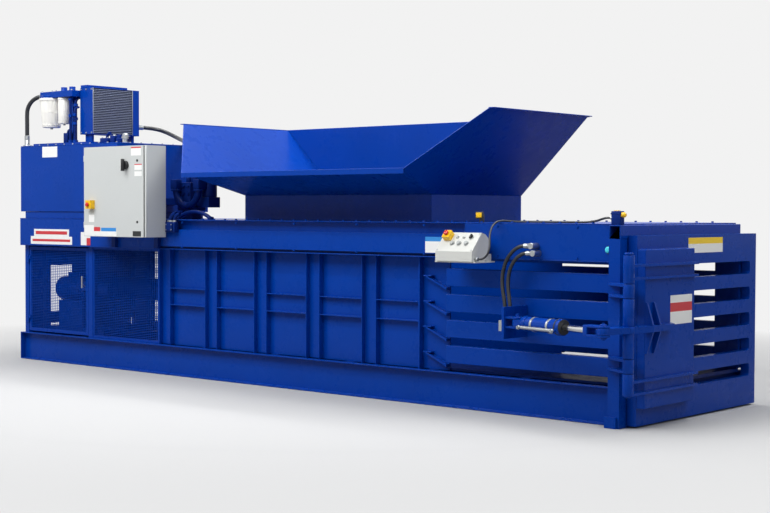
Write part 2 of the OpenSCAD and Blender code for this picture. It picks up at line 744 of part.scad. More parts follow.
module cabinet_door() color("#d3d5d3") {
  difference() {
    translate([cab_x, cab_y, cab_z]) cube([cab_door_w, cab_door_t - cab_seam, cab_h]);
    translate([cab_x + cab_t, cab_y + cab_t, cab_z + cab_t])
      cube([cab_door_w - 2 * cab_t, cab_door_t, cab_h - 2 * cab_t]);
    for (z = [latch_lo, latch_hi]) rod_y([latch_x, cab_y - eps, z], cab_door_t, latch_d + 2 * run_c);
    rod_y([switch_x, cab_y - eps, switch_z], cab_door_t, switch_d + 2 * run_c);
    rod_y([stop_x, cab_y - eps, stop_z], cab_door_t, stop_d + 2 * run_c);
  }
  for (z = cab_leaf_z) difference() {
    union() {
      translate([cab_pin_x, cab_pin_y, z + cab_leaf_h + leaf_gap])
        cylinder(h = cab_leaf_h, d = cab_leaf_d);
      box([cab_pin_x, cab_pin_y - 4, z + cab_leaf_h + leaf_gap],
        [cab_x, cab_pin_y + 4, z + 2 * cab_leaf_h + leaf_gap]);
    }
    translate([cab_pin_x, cab_pin_y, z + cab_leaf_h - eps])
      cylinder(h = cab_leaf_h + 3 * eps, d = cab_leaf_d / 2 + 2 * run_c);
  }
}
module cabinet_estop_housing() color("#e8c21a") difference() {
  translate([stop_x - stop_box / 2, cab_y - stop_deep, stop_z - stop_box / 2])
    cube([stop_box, stop_deep, stop_box]);
  rod_y([stop_x, cab_y - stop_deep - eps, stop_z], stop_deep + 2 * eps, stop_d + 2 * run_c);
}
module cabinet_latch(z) color("#2a2a2a") difference() {
  rod_y([latch_x, cab_y - 4, z], cab_t + 12, latch_d);
  translate([latch_x - 2, cab_y - 4 - eps, z - latch_d * 0.35]) cube([4, 4, latch_d * 0.7]);
}
module disconnect_handle() color("#26282b") {
  rod_y([switch_x, cab_y - 30, switch_z], 30 + cab_t, switch_d);
  rod_y([switch_x, cab_y - 30, switch_z], 29, 90);
  translate([switch_x - 14, cab_y - 62, switch_z - 62]) cube([28, 33, 124]);
}
// Mushroom button: a cap on a stem that slides in its bored housing
module mushroom(cap_d, stem_d, stem_l) {
  cylinder(h = stem_l, d = stem_d);
  translate([0, 0, stem_l]) cylinder(h = 16, d = cap_d);
}
push_gap = 8;
module cabinet_estop() color("#c4201c")
  translate([stop_x, cab_y - stop_deep + 40, stop_z]) rotate([90, 0, 0])
    mushroom(46, stop_d, 40 + push_gap);

// Operator console: a sloped box on a shelf bracket
con_off = 1599;
con_x = post_x - con_off;
con_y = -295;
con_deep = 232;
con_ridge = 134;
con_z = 1285;
con_front = 84;
con_back = 190;
con_crown = 45;
con_shelf = 12;
con_slope = atan2(con_h - con_front, con_ridge);
module console_box() color("#e6e6e2") {
  difference() {
    translate([con_x, con_y, con_z]) rotate([90, 0, 90]) linear_extrude(con_w)
      polygon([
        [0, 0], [con_deep, 0], [con_deep, con_back], [con_deep - con_crown, con_h - con_crown * 0.3],
        [con_ridge, con_h], [0, con_front]
      ]);
    for (u = con_holes) on_console(u) translate([0, 0, -con_hole_deep])
      cylinder(h = con_hole_deep + eps, d = btn_d + 2 * run_c);
  }
  box([con_x - 20, con_y + 20, con_z - con_shelf], [con_x + con_w + 20, 0, con_z]);
  box([con_x + 20, con_y + con_deep, con_z], [con_x + con_w - 20, 0, con_z + 60]);
}
con_stop_box = 74;
con_stop_deep = 52;
module console_estop_housing() color("#e8c21a") on_console(con_holes[0]) difference() {
  translate([-con_stop_box / 2, -con_stop_box / 2, 0])
    cube([con_stop_box, con_stop_box, con_stop_deep]);
  translate([0, 0, -eps]) cylinder(h = con_stop_deep + 2 * eps, d = btn_d + 2 * run_c);
}
btn_d = 22;
con_hole_deep = 45;
// Places on the sloped panel: distance along the width and up the slope
con_holes = [[75, 150], [139, 85], [212, 85], [289, 85], [309, 155]];
module on_console(u) {
  translate([con_x + u[0], con_y, con_z + con_front]) rotate([con_slope, 0, 0])
    translate([0, u[1], 0]) children();
}
module console_estop() color("#c4201c") on_console(con_holes[0]) translate([0, 0, 12])
  mushroom(44, btn_d, 40 + push_gap);
module push_button(cap) {
  translate([0, 0, -30]) cylinder(h = 30 + push_gap, d = btn_d);
  translate([0, 0, push_gap]) cylinder(h = 10, d = cap);
}
module console_button_left() color("#b8bab6") on_console(con_holes[1]) push_button(34);
module console_button_middle() color("#b8bab6") on_console(con_holes[2]) push_button(34);
module console_button_right() color("#b8bab6") on_console(con_holes[3]) push_button(34);
module console_selector() color("#1c1d20") on_console(con_holes[4]) {
  translate([0, 0, -30]) cylinder(h = 31, d = btn_d);
  translate([0, 0, 1]) cylinder(h = 8, d = 34);
  translate([-6, -20, 9]) cube([12, 40, 14]);
}

// Long pin of the end door, held in the lugs of the near post
pin_z0 = 270;
pin_z1 = 1376;
module hinge_pin() color(steel) {
  translate([hinge_x, hinge_y, pin_z0]) cylinder(h = pin_z1 - pin_z0, d = hinge_pin_d);
  translate([hinge_x, hinge_y, pin_z1]) cylinder(h = 14, d = barrel_d * 0.8);
}

// End door: a thick plate with round-ended tie slots
door_edge = 110;
door_slot_r = 25;
module end_door() color(paint) difference() {
  box([door_x, 0, door_bottom], [door_face, base_w, door_top]);
  for (i = [0 : slot_n - 1]) {
    y0 = door_edge + door_slot_r;
    y1 = base_w - y0;
    z0 = door_slot_z + i * slot_pitch;
    z1 = z0 + door_slot_h;
    for (y = [y0, y1], z = [z0 + door_slot_r, z1 - door_slot_r])
      rod_x([door_x - eps, y, z], door_t + 2 * eps, 2 * door_slot_r);
    box([door_x - eps, y0, z0], [door_face + eps, y1, z1]);
    box([door_x - eps, door_edge, z0 + door_slot_r],
      [door_face + eps, base_w - door_edge, z1 - door_slot_r]);
  }
}

// Reinforced skin on the hinge half of the door
skin_out = 75;
skin_w = 775;
skin_z0 = 160;
skin_z1 = 1410;
skin_face = door_face + skin_out;
module door_skin() color(paint) difference() {
  box([door_face, 0, skin_z0], [skin_face, skin_w, skin_z1]);
  box([door_face - eps, wall_t, skin_z0 + wall_t],
    [skin_face - wall_t, skin_w - wall_t, skin_z1 - wall_t]);
}

// Hinge barrels with the pairs of plates that wrap on to the skin
knuckle_gap = 6;
plate_z = [284, 380, 1180, 1280];
plate_out = 40;
barrels = [
  [pin_z0 + 14, lug_z[0] - knuckle_gap],
  [lug_z[1] + lug_t + knuckle_gap, lever_z - lever_t / 2],
  [lever_z + lever_t / 2, lug_z[2] - knuckle_gap],
  [lug_z[3] + lug_t + knuckle_gap, pin_z1 - knuckle_gap]
];
module knuckle_outline() {
  difference() {
    union() {
      translate([hinge_x, hinge_y]) circle(d = barrel_d);
      polygon([
        [hinge_x - barrel_d * 0.3, hinge_y + barrel_d * 0.3], [hinge_x + barrel_d * 0.5, hinge_y],
        [skin_face + plate_out, skin_w * 0.15], [skin_face + plate_out, skin_w],
          [skin_face, skin_w], [skin_face, 0]
      ]);
    }
    translate([hinge_x, hinge_y]) circle(d = hinge_pin_d + 2 * run_c);
  }
}
module door_knuckles() color(paint) {
  for (z = plate_z) translate([0, 0, z]) linear_extrude(lug_t) knuckle_outline();
  for (b = barrels) difference() {
    translate([hinge_x, hinge_y, b[0]]) cylinder(h = b[1] - b[0], d = barrel_d);
    translate([hinge_x, hinge_y, b[0] - eps])
      cylinder(h = b[1] - b[0] + 2 * eps, d = hinge_pin_d + 2 * run_c);
  }
}

// Lever of the end door with its gussets; the pin bore takes the cylinder's clevis
lever_a = -100;
lever_w = 96;
lever_tail = 400;
lever_pin_x = hinge_x + lever_r * cos(lever_a);
lever_pin_y = hinge_y + lever_r * sin(lever_a);
pin_bore = 40;
gusset_h = 175;
gusset_gap = 110;
module door_lever() color(paint) {
  translate([0, 0, lever_z - lever_t / 2]) linear_extrude(lever_t) difference() {
    union() {
      translate([lever_pin_x, lever_pin_y]) circle(d = lever_w);
      translate([hinge_x, hinge_y]) circle(d = barrel_d * 1.3);
      translate([hinge_x, hinge_y]) rotate(lever_a)
        translate([0, -lever_w / 2]) square([lever_r, lever_w]);
      polygon([
        [hinge_x + barrel_d * 0.65, hinge_y], [skin_face + plate_out * 2, 0],
          [skin_face + plate_out * 2, lever_tail * 0.8],
        [skin_face, lever_tail], [skin_face, 0], [hinge_x - barrel_d * 0.3, hinge_y + barrel_d * 0.55]
      ]);
    }
    translate([hinge_x, hinge_y]) circle(d = hinge_pin_d + 2 * run_c);
    translate([lever_pin_x, lever_pin_y]) circle(d = pin_bore);
  }
  for (s = [-1, 1], y = [lug_t, lug_t + gusset_gap])
    translate([skin_face, y, lever_z + s * (lever_t / 2 + seam)]) rotate([90, 0, 0])
      linear_extrude(lug_t)
      polygon([[0, 0], [plate_out * 1.8, 0], [plate_out * 0.4, s * gusset_h], [0, s * gusset_h]]);
}

// Door cylinder between its bracket on the bars and the lever pin
cyl_back = 910;
cyl_x = base_l - cyl_back;
cyl_y = -200;
cyl_dx = lever_pin_x - cyl_x;
cyl_dy = lever_pin_y - cyl_y;
cyl_len = sqrt(cyl_dx * cyl_dx + cyl_dy * cyl_dy);
cyl_ang = atan2(cyl_dy, cyl_dx);
cyl_z = lever_z;
cyl_od = door_bore + 25;
eye_t = 56;
eye_d = 90;
ear_t = 18;
ear_gap = 2;
bracket_t = 25;
bracket_x = cyl_x - 120;
bracket_z0 = cyl_z - 137;
bracket_z1 = cyl_z + 126;
cyl_pin_d = 40;
module door_cylinder_bracket() color(paint) {
  ear_z = eye_t / 2 + ear_gap;
  box([bracket_x, cyl_y - eye_d * 0.7, bracket_z0], [bracket_x + bracket_t, rib_set, bracket_z1]);
  for (z = [cyl_z + ear_z, cyl_z - ear_z - ear_t]) translate([0, 0, z]) linear_extrude(ear_t) {
    translate([cyl_x, cyl_y]) circle(d = eye_d);
    translate([bracket_x, cyl_y - eye_d / 2]) square([cyl_x - bracket_x, eye_d]);
  }
  translate([cyl_x, cyl_y, cyl_z - ear_z - ear_t - 12])
    cylinder(h = 2 * (ear_z + ear_t) + 24, d = cyl_pin_d);
}
module along_cylinder() {
  translate([cyl_x, cyl_y, cyl_z]) rotate([0, 0, cyl_ang]) children();
}
// The rod draws in as the door opens a quarter turn, so the barrel ends short of the fork's way
open_dx = hinge_x + lever_r * cos(lever_a - 90) - cyl_x;
open_dy = hinge_y + lever_r * sin(lever_a - 90) - cyl_y;
stroke = cyl_len - sqrt(open_dx * open_dx + open_dy * open_dy);
fork_reach = 190;
fork_s = cyl_len - fork_reach;
barrel_s0 = 95;
barrel_s1 = fork_s - stroke - 10;
gland_l = 55;
piston_s = barrel_s1 - gland_l - 35;
rod_d = 56;
module door_cylinder_barrel() color(paint) along_cylinder() {
  difference() {
    union() {
      translate([0, 0, -eye_t / 2]) cylinder(h = eye_t, d = eye_d);
      box([0, -eye_d / 2, -eye_t / 2], [barrel_s0, eye_d / 2, eye_t / 2]);
      rod_x([barrel_s0 - 5, 0, 0], barrel_s1 - barrel_s0 + 5, cyl_od);
      rod_x([barrel_s1 - gland_l, 0, 0], gland_l, cyl_od + 16);
      for (s = [barrel_s0 + 35, barrel_s1 - 35]) rod_x([s - 22, 0, 0], 44, cyl_od + 10);
    }
    translate([0, 0, -eye_t]) cylinder(h = 2 * eye_t, d = cyl_pin_d + 2 * run_c);
    rod_x([barrel_s0 + 25, 0, 0], barrel_s1 - gland_l - barrel_s0 - 25, door_bore);
    rod_x([barrel_s0 + 25, 0, 0], barrel_s1, rod_d + 2 * run_c);
  }
  translate([barrel_s0 + 35, -cyl_od / 2 - 22, -26]) rotate([0, 90, 0])
    cylinder(h = barrel_s1 - barrel_s0 - 70, d = 26);
  for (s = [barrel_s0 + 35, barrel_s1 - 35]) rod_y([s, -cyl_od / 2 - 22, -26], 40, 26);
}
fork_t = 16;
fork_gap = 2;
fork_l = 50;
module door_cylinder_rod() color(steel) along_cylinder() {
  fork_z = lever_t / 2 + fork_gap;
  rod_x([piston_s, 0, 0], fork_s - piston_s, rod_d);
  rod_x([piston_s - 50, 0, 0], 50, door_bore - 2 * run_c);
  box([fork_s, -lever_w / 2, -fork_z - fork_t], [fork_s + fork_l, lever_w / 2, fork_z + fork_t]);
  for (z = [fork_z, -fork_z - fork_t]) {
    translate([cyl_len, 0, z]) cylinder(h = fork_t, d = lever_w);
    box([fork_s + fork_l, -lever_w / 2, z], [cyl_len, lever_w / 2, z + fork_t]);
  }
  for (z = [fork_z + fork_t, -fork_z - fork_t - 14]) translate([cyl_len, 0, z])
    cylinder(h = 14, d = pin_bore + 16);
}

// Main cylinder with its rear cap and front gland, on two saddles
main_x0 = 25;
main_x1 = 3030;
cap_l = 90;
main_gland = 130;
module main_cylinder() color(paint) difference() {
  union() {
    rod_x([main_x0, mid_y, main_z], main_x1 - main_x0, main_d);
    rod_x([main_x0, mid_y, main_z], cap_l, main_d + 40);
    rod_x([main_x1 - main_gland, mid_y, main_z], main_gland, main_d + 30);
  }
  rod_x([main_x0 + cap_l, mid_y, main_z], main_x1 - main_gland - main_x0 - cap_l, main_bore);
  rod_x([main_x0 + cap_l, mid_y, main_z], main_x1, main_rod_d + 2 * run_c);
}
saddle_t = 60;
saddle_w = 620;
saddle_in = 295;
saddle_out = 980;
module cylinder_mounts() color(paint_dark) {
  for (x = [main_x0 + saddle_in, main_x1 - saddle_out]) difference() {
    box([x, mid_y - saddle_w / 2, base_h],
      [x + saddle_t, mid_y + saddle_w / 2, main_z + main_d * 0.75]);
    rod_x([x - eps, mid_y, main_z], saddle_t + 2 * eps, main_d);
  }
}

// Hollow ram on the chamber floor with the trailing cover that shuts the hopper
ram_gap = 20;
ram_y0 = inner_y + ram_gap;
ram_top = roof_z - 30;
trail_l = ram_x - neck_x0 + neck_l - 20;
module ram() color(paint_dark) {
  difference() {
    box([ram_x - ram_l, ram_y0, floor_top], [ram_x, base_w - ram_y0, ram_top]);
    box([ram_x - ram_l - eps, ram_y0 + ram_t, floor_top + ram_t],
      [ram_x - ram_t * 2, base_w - ram_y0 - ram_t, ram_top - ram_t]);
  }
  box([ram_x - trail_l, ram_y0, ram_top - 12], [ram_x - ram_l, base_w - ram_y0, ram_top]);
}
main_piston = 110;
rod_flange_l = 60;
main_rod_x0 = main_x0 + cap_l + 15;
module main_rod() color(steel) {
  rod_x([main_rod_x0, mid_y, main_z], ram_x - ram_t * 2 - main_rod_x0, main_rod_d);
  rod_x([main_rod_x0, mid_y, main_z], main_piston, main_bore - 2 * run_c);
  rod_x([ram_x - ram_t * 2 - rod_flange_l, mid_y, main_z], rod_flange_l, main_rod_d + 2 * rod_flange_l);
}

// Door switch on the header, photo sensor on the beam and status lamp by the post
sensor_off = 224;
sensor_x = con_x + sensor_off;
door_switch_h = 110;
lamp_d = 56;
lamp_out = 38;
lamp_up = 102;
module door_sensors() color("#e8c21a") {
  box([post_x + 5, -post_w + 20, header_z + header_h],
    [post_x + 90, -20, header_z + header_h + door_switch_h]);
  rod_x([post_x + 90, -post_w / 2 - 5, header_z + header_h + door_switch_h - 30], 34, 40);
  box([sensor_x, 20, beam_top], [sensor_x + 20, 70, beam_top + 70]);
  box([sensor_x - 30, 5, beam_top + 32], [sensor_x + 50, 20, beam_top + 92]);
  rod_y([post_x - lamp_d - 4, -lamp_out, beam_z + lamp_up], lamp_out + cover_set, lamp_d);
}

// Pipe fittings: tank flange, filter port, cooler port, bulkhead elbows, bracket ports and cable glands
hose_d = 48;
cool_d = 45;
oil_d = 32;
cable_d = 18;
port_h = 45;
function last(p) = p[len(p) - 1];
module hose_fittings() color(paint_dark) {
  translate([suction[0][0], suction[0][1], tank_top]) cylinder(h = 15, d = hose_d + 40);
  translate([suction[0][0], suction[0][1], tank_top])
    cylinder(h = suction[0][2] - tank_top, d = hose_d + 12);
  rod_x(last(suction), bowl_x - bowl_r * 0.85 - last(suction)[0], hose_d + 12);
  for (r = [door_hose_a, door_hose_b]) {
    rod_x(r[0], 40, oil_d + 12);
    translate([r[0][0] + 40, cover_set, r[0][2]]) rotate([90, 0, 0])
      cylinder(h = cover_set - r[0][1] + 26, d = oil_d + 20);
    translate(last(r) - [0, 0, port_h]) cylinder(h = port_h, d = oil_d + 10);
  }
  box([last(door_hose_a)[0] - 35, last(door_hose_a)[1] - 45, last(door_hose_a)[2] - port_h - 90],
    [bracket_x, last(door_hose_a)[1] + 45, last(door_hose_a)[2] - port_h]);
  rod_y([cool[0][0], cooler_y + cooler_w, cool[0][2]], cool[0][1] - cooler_y - cooler_w, cool_d + 14);
  translate([last(cool)[0], last(cool)[1], link_top])
    cylinder(h = last(cool)[2] - link_top, d = cool_d + 14);
  rod_x([con_x + con_w, cable[0][1], cable[0][2]], cable[0][0] - con_x - con_w, cable_d + 14);
  rod_x(last(cable), post_x + 5 - last(cable)[0], cable_d + 10);
}

// Routes of the hoses and the cable, which start from the piece that they serve
function from_x(x, route) = [for (q = route) [x + q[0], q[1], q[2]]];
suction = [
  [40, 75, 2500], [40, 75, 2600], [40, 75, 2700], [40, 75, 2790], [46, 77, 2850], [66, 85, 2900],
  [98, 98, 2942], [140, 115, 2973], [188, 134, 2992], [230, 150, 3000], [262, 150, 3000]
];
cool = [
  [1050, 880, 2650], [1050, 905, 2650], [1063, 975, 2648], [1106, 1039, 2640], [1167, 1081, 2625],
  [1240, 1095, 2604], [1324, 1094, 2578], [1408, 1082, 2552], [1492, 1065, 2527], [1576, 1035, 2506],
  [1659, 1000, 2488], [1743, 955, 2468], [1820, 910, 2440], [1896, 862, 2398], [1972, 815, 2340],
  [2042, 771, 2264], [2096, 742, 2172], [2122, 732, 2080], [2127, 730, 1995], [2127, 730, 1930],
  [2127, 730, 1861]
];
door_hose_a = from_x(cyl_x, [
  [5, -70, 1420], [-45, -70, 1420], [-108, -71, 1400], [-165, -74, 1355], [-205, -78, 1298],
  [-230, -82, 1232], [-241, -86, 1165], [-240, -90, 1100], [-230, -95, 1040], [-216, -98, 985],
  [-205, -101, 930], [-200, -102, 885], [-200, -102, 845]
]);
door_hose_b = from_x(cyl_x, [
  [25, -70, 1360], [-23, -70, 1360], [-80, -72, 1338], [-125, -75, 1298], [-158, -79, 1246],
  [-176, -83, 1189], [-181, -88, 1120], [-175, -93, 1050], [-163, -97, 985], [-152, -101, 930],
  [-148, -102, 885], [-148, -102, 845]
]);
cable = from_x(con_x, [
  [419, -246, 1306], [442, -246, 1306], [471, -244, 1312], [495, -240, 1329], [510, -233, 1354],
  [514, -224, 1384], [511, -213, 1418], [503, -201, 1453], [492, -186, 1488], [480, -165, 1521],
  [468, -136, 1552], [458, -100, 1582], [453, -66, 1602], [454, -34, 1616], [464, -2, 1623],
  [484, 22, 1625], [514, 37, 1624], [549, 40, 1622], [594, 36, 1620], [714, 28, 1620],
  [934, 26, 1620], [1084, 26, 1620], [1234, 26, 1620], [1324, 22, 1622], [1414, 6, 1632],
  [1494, -30, 1648], [1544, -48, 1656], [1579, -48, 1656]
]);

// Round tube swept along a route
function unit(v) = v / norm(v);
function route_dir(p, i) = unit(p[min(i + 1, len(p) - 1)] - p[max(i - 1, 0)]);
function ring(p, i, r, n) =
  let (t = route_dir(p, i), u = unit(cross(t, [0.31, 0.9, 0.3])), v = cross(t, u))
  [for (k = [0 : n - 1]) p[i] + r * cos(360 * k / n) * u + r * sin(360 * k / n) * v];
module hose(p, d, n) {
  m = len(p);
  polyhedron(
    points = [for (i = [0 : m - 1]) each ring(p, i, d / 2, n)],
    faces = concat(
      [[for (k = [0 : n - 1]) k]],
      [for (i = [0 : m - 2], k = [0 : n - 1]) [i * n + k, (i + 1) * n + k, (i + 1) * n + (k + 1) % n,
        i * n + (k + 1) % n]],
      [[for (k = [0 : n - 1]) m * n - 1 - k]]
    )
  );
}
module suction_hose() color("#2b2c30") hose(suction, hose_d, 12);
module cooler_hose() color("#2b2c30") hose(cool, cool_d, 12);
module door_hoses() color("#17181b") {
  hose(door_hose_a, oil_d, 10);
  hose(door_hose_b, oil_d, 10);
}
module console_cable() color("#17181b") hose(cable, cable_d, 8);

// Hinged mesh door of the cage with its frame, and the quarter-turn latch on it
cage_hinge_x = cage_post + 4;
cage_hinge_y = cage_y - leaf_d / 2;
cage_door_x0 = cage_post + 8;
cage_door_x1 = cage_mid_x - 8;
cage_door_z0 = base_h + 15;
cage_door_z1 = beam_z - 15;
cage_door_y = cage_y + 2;
stile = 35;
stile_d = 25;
cage_latch_x = cage_door_x1 - 60;
cage_latch_z = 865;
cage_latch_d = 18;
module cage_door() color(paint) difference() {
  union() {
    translate([cage_door_x0, cage_door_y, cage_door_z0])
      mesh_panel(cage_door_x1 - cage_door_x0, cage_door_z1 - cage_door_z0, 10, 10);
    for (x = [cage_door_x0, cage_door_x1 - stile])
      box([x, cage_door_y, cage_door_z0], [x + stile, cage_door_y + stile_d, cage_door_z1]);
    for (z = [cage_door_z0, cage_door_z1 - stile])
      box([cage_door_x0, cage_door_y, z], [cage_door_x1, cage_door_y + stile_d, z + stile]);
    box([cage_latch_x - 40, cage_door_y, cage_latch_z - 50],
      [cage_door_x1, cage_door_y + stile_d, cage_latch_z + 50]);
    for (z = cage_hinge_z) {
      translate([cage_hinge_x, cage_hinge_y, z + leaf_h + leaf_gap]) cylinder(h = leaf_h, d = leaf_d);
      box([cage_hinge_x, cage_hinge_y, z + leaf_h + leaf_gap],
        [cage_hinge_x + leaf_d * 1.5, cage_door_y, z + 2 * leaf_h + leaf_gap]);
    }
  }
  for (z = cage_hinge_z)
    translate([cage_hinge_x, cage_hinge_y, z + leaf_h - eps])
      cylinder(h = leaf_h + 3 * eps, d = leaf_d / 2 + 2 * run_c);
  rod_y([cage_latch_x, cage_door_y - eps, cage_latch_z], stile_d + 2 * eps, cage_latch_d + 2 * run_c);
}
module cage_latch() color(steel) {
  tongue_y = cage_y + cage_post + 5;
  rod_y([cage_latch_x, cage_door_y - 40, cage_latch_z], tongue_y + 10 - cage_door_y + 40, cage_latch_d);
  box([cage_latch_x - 10, cage_door_y - 40, cage_latch_z - 20],
    [cage_latch_x + 10, cage_door_y - 22, cage_latch_z + 110]);
  box([cage_latch_x - 14, tongue_y, cage_latch_z - 20],
    [cage_latch_x + 14, tongue_y + 10, cage_latch_z + 105]);
}

place() base_rails();
place() base_cross_members();
place() chamber_floor();
place() side_walls();
place() wall_ribs();
place() upper_beams();
place() beam_covers();
place() chamber_bars();
place() tie_guides();
place() end_posts();
place() door_header();
place() roof_plates();
place() cage_posts();
place() cage_panels();
place() hopper_neck();
place() hopper_walls();
place() oil_tank();
place() power_unit_base();
place() pump_set();
place() valve_manifold();
place() filter_heads();
place() filter_bowls();
place() cooler_shroud();
place() cooler_core();
place() cabinet_posts();
place() cabinet_box();
place() console_box();
place() console_estop_housing();
place() hinge_pin();
place() door_cylinder_bracket();
place() main_cylinder();
place() cylinder_mounts();
place() door_sensors();
place() hose_fittings();
place() suction_hose();
place() cooler_hose();
place() door_hoses();
place() console_cable();
place() ram();
place() main_rod();
place() end_door();
place() door_skin();
place() door_knuckles();
place() door_lever();
place() door_cylinder_barrel();
place() door_cylinder_rod();
place() cage_door();
place() cage_latch();
place() cooler_fan();
place() cabinet_door();
place() cabinet_estop_housing();
place() cabinet_latch(latch_hi);  // cabinet_latch_upper
place() cabinet_latch(latch_lo);  // cabinet_latch_lower
place() disconnect_handle();
place() cabinet_estop();
place() console_estop();
place() console_button_left();
place() console_button_middle();
place() console_button_right();
place() console_selector();
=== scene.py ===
"""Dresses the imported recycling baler: studio, finishes, hoses and the small pieces on the solids."""

import json
import logging
import math
from dataclasses import dataclass
from enum import Enum
from typing import Any, Iterable, Optional, Sequence

import bmesh
import bpy
from mathutils import Matrix, Vector


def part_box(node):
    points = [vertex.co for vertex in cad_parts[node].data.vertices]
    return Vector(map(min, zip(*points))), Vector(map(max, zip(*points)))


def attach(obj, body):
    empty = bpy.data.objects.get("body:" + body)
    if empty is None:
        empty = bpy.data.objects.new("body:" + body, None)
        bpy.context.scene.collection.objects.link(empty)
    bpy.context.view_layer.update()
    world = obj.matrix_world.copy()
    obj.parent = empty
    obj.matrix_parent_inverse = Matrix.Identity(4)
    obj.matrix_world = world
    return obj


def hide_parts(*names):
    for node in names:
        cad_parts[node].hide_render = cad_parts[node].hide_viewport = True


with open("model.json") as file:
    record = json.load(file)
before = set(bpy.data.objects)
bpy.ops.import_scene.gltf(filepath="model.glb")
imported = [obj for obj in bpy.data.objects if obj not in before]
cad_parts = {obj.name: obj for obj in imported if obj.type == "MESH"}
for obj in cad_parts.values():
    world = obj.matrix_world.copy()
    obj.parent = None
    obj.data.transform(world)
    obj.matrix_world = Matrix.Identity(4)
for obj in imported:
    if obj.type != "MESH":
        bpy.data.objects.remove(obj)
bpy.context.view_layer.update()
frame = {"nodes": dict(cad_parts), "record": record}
LOG = logging.getLogger("baler")

Pair = tuple[float, float]
Point = tuple[float, float, float]
Tree = bpy.types.NodeTree
Node = bpy.types.Node
Socket = bpy.types.NodeSocket

# The solids' own corner of the machine, seen from the part's origin, in metres.
CORNER = Vector((-4.035, -1.0, 0.0))
# Millimetres in a metre.
MM = 1000.0


class Body(str, Enum):
    """Bodies of the part that new pieces ride on."""

    FRAME = "machine_frame"
    DOOR = "end_door_assembly"
    BARREL = "door_cylinder_body"
    ROD = "door_rod_body"
    CAGE_DOOR = "cage_door_body"
    CABINET_DOOR = "cabinet_door_body"
    DISCONNECT = "disconnect_body"
    CABINET_STOP = "cabinet_estop_body"
    CONSOLE_STOP = "console_estop_body"


class Axis:
    """Directions that a piece can point in."""

    X = Vector((1.0, 0.0, 0.0))
    Y = Vector((0.0, 1.0, 0.0))
    Z = Vector((0.0, 0.0, 1.0))
    MINUS_X = Vector((-1.0, 0.0, 0.0))
    MINUS_Y = Vector((0.0, -1.0, 0.0))
    MINUS_Z = Vector((0.0, 0.0, -1.0))


def spot(x: float, y: float, z: float) -> Vector:
    """Turns a place on the machine into the part's frame.

    Args:
        x: Millimetres from the rear end of the base.
        y: Millimetres from the near face of the base.
        z: Millimetres above the floor.

    Returns:
        The same place in metres, from the part's origin.
    """
    return Vector((x, y, z)) / MM + CORNER


def linear(code: str) -> tuple[float, float, float, float]:
    """Turns an sRGB hex colour into linear RGBA.

    Args:
        code: Six hex digits after a hash sign.

    Returns:
        Linear red, green, blue and an alpha of one.
    """
    parts = [int(code[i : i + 2], 16) / 255.0 for i in (1, 3, 5)]
    rgb = [c / 12.92 if c <= 0.04045 else ((c + 0.055) / 1.055) ** 2.4 for c in parts]
    return rgb[0], rgb[1], rgb[2], 1.0


def per_mm(size: float) -> float:
    """Scale of a noise on Object coordinates whose features are this many millimetres across."""
    return MM / size


def stand(name: str, data: bpy.types.ID) -> bpy.types.Object:
    """Puts a new object with this data into the scene, at the origin."""
    made = bpy.data.objects.new(name, data)
    bpy.context.scene.collection.objects.link(made)
    return made


def add(tree: Tree, kind: str, settings: Optional[dict[Any, Any]] = None,
        links: Optional[dict[Any, Any]] = None) -> Node:
    """Adds a shader node with its settings and links.

    Args:
        tree: Node tree that takes the node.
        kind: Blender's name of the node type, without ShaderNode in front.
        settings: Attributes of the node, or default values of its inputs by name or number.
        links: Output sockets that feed its inputs, by input name or number.

    Returns:
        The new node.
    """
    node = tree.nodes.new("ShaderNode" + kind)
    for key, value in (settings or {}).items():
        if isinstance(key, str) and hasattr(node, key) and key not in node.inputs:
            setattr(node, key, value)
        else:
            node.inputs[key].default_value = value
    for key, socket in (links or {}).items():
        tree.links.new(socket, node.inputs[key])
    return node


@dataclass(frozen=True)
class Finish:
    """A material that is drawn on Object coordinates."""

    name: str
    colour: str

    def skin(self, tree: Tree, where: Socket) -> Node:
        """Shader of the surface, which each kind of finish draws for itself."""
        raise NotImplementedError

    def build(self) -> bpy.types.Material:
        """Makes the material."""
        made = bpy.data.materials.new(self.name)
        made.use_nodes = True
        tree = made.node_tree
        tree.nodes.clear()
        where = add(tree, "TexCoord").outputs["Object"]
        add(tree, "OutputMaterial", {}, {0: self.skin(tree, where).outputs[0]})
        return made


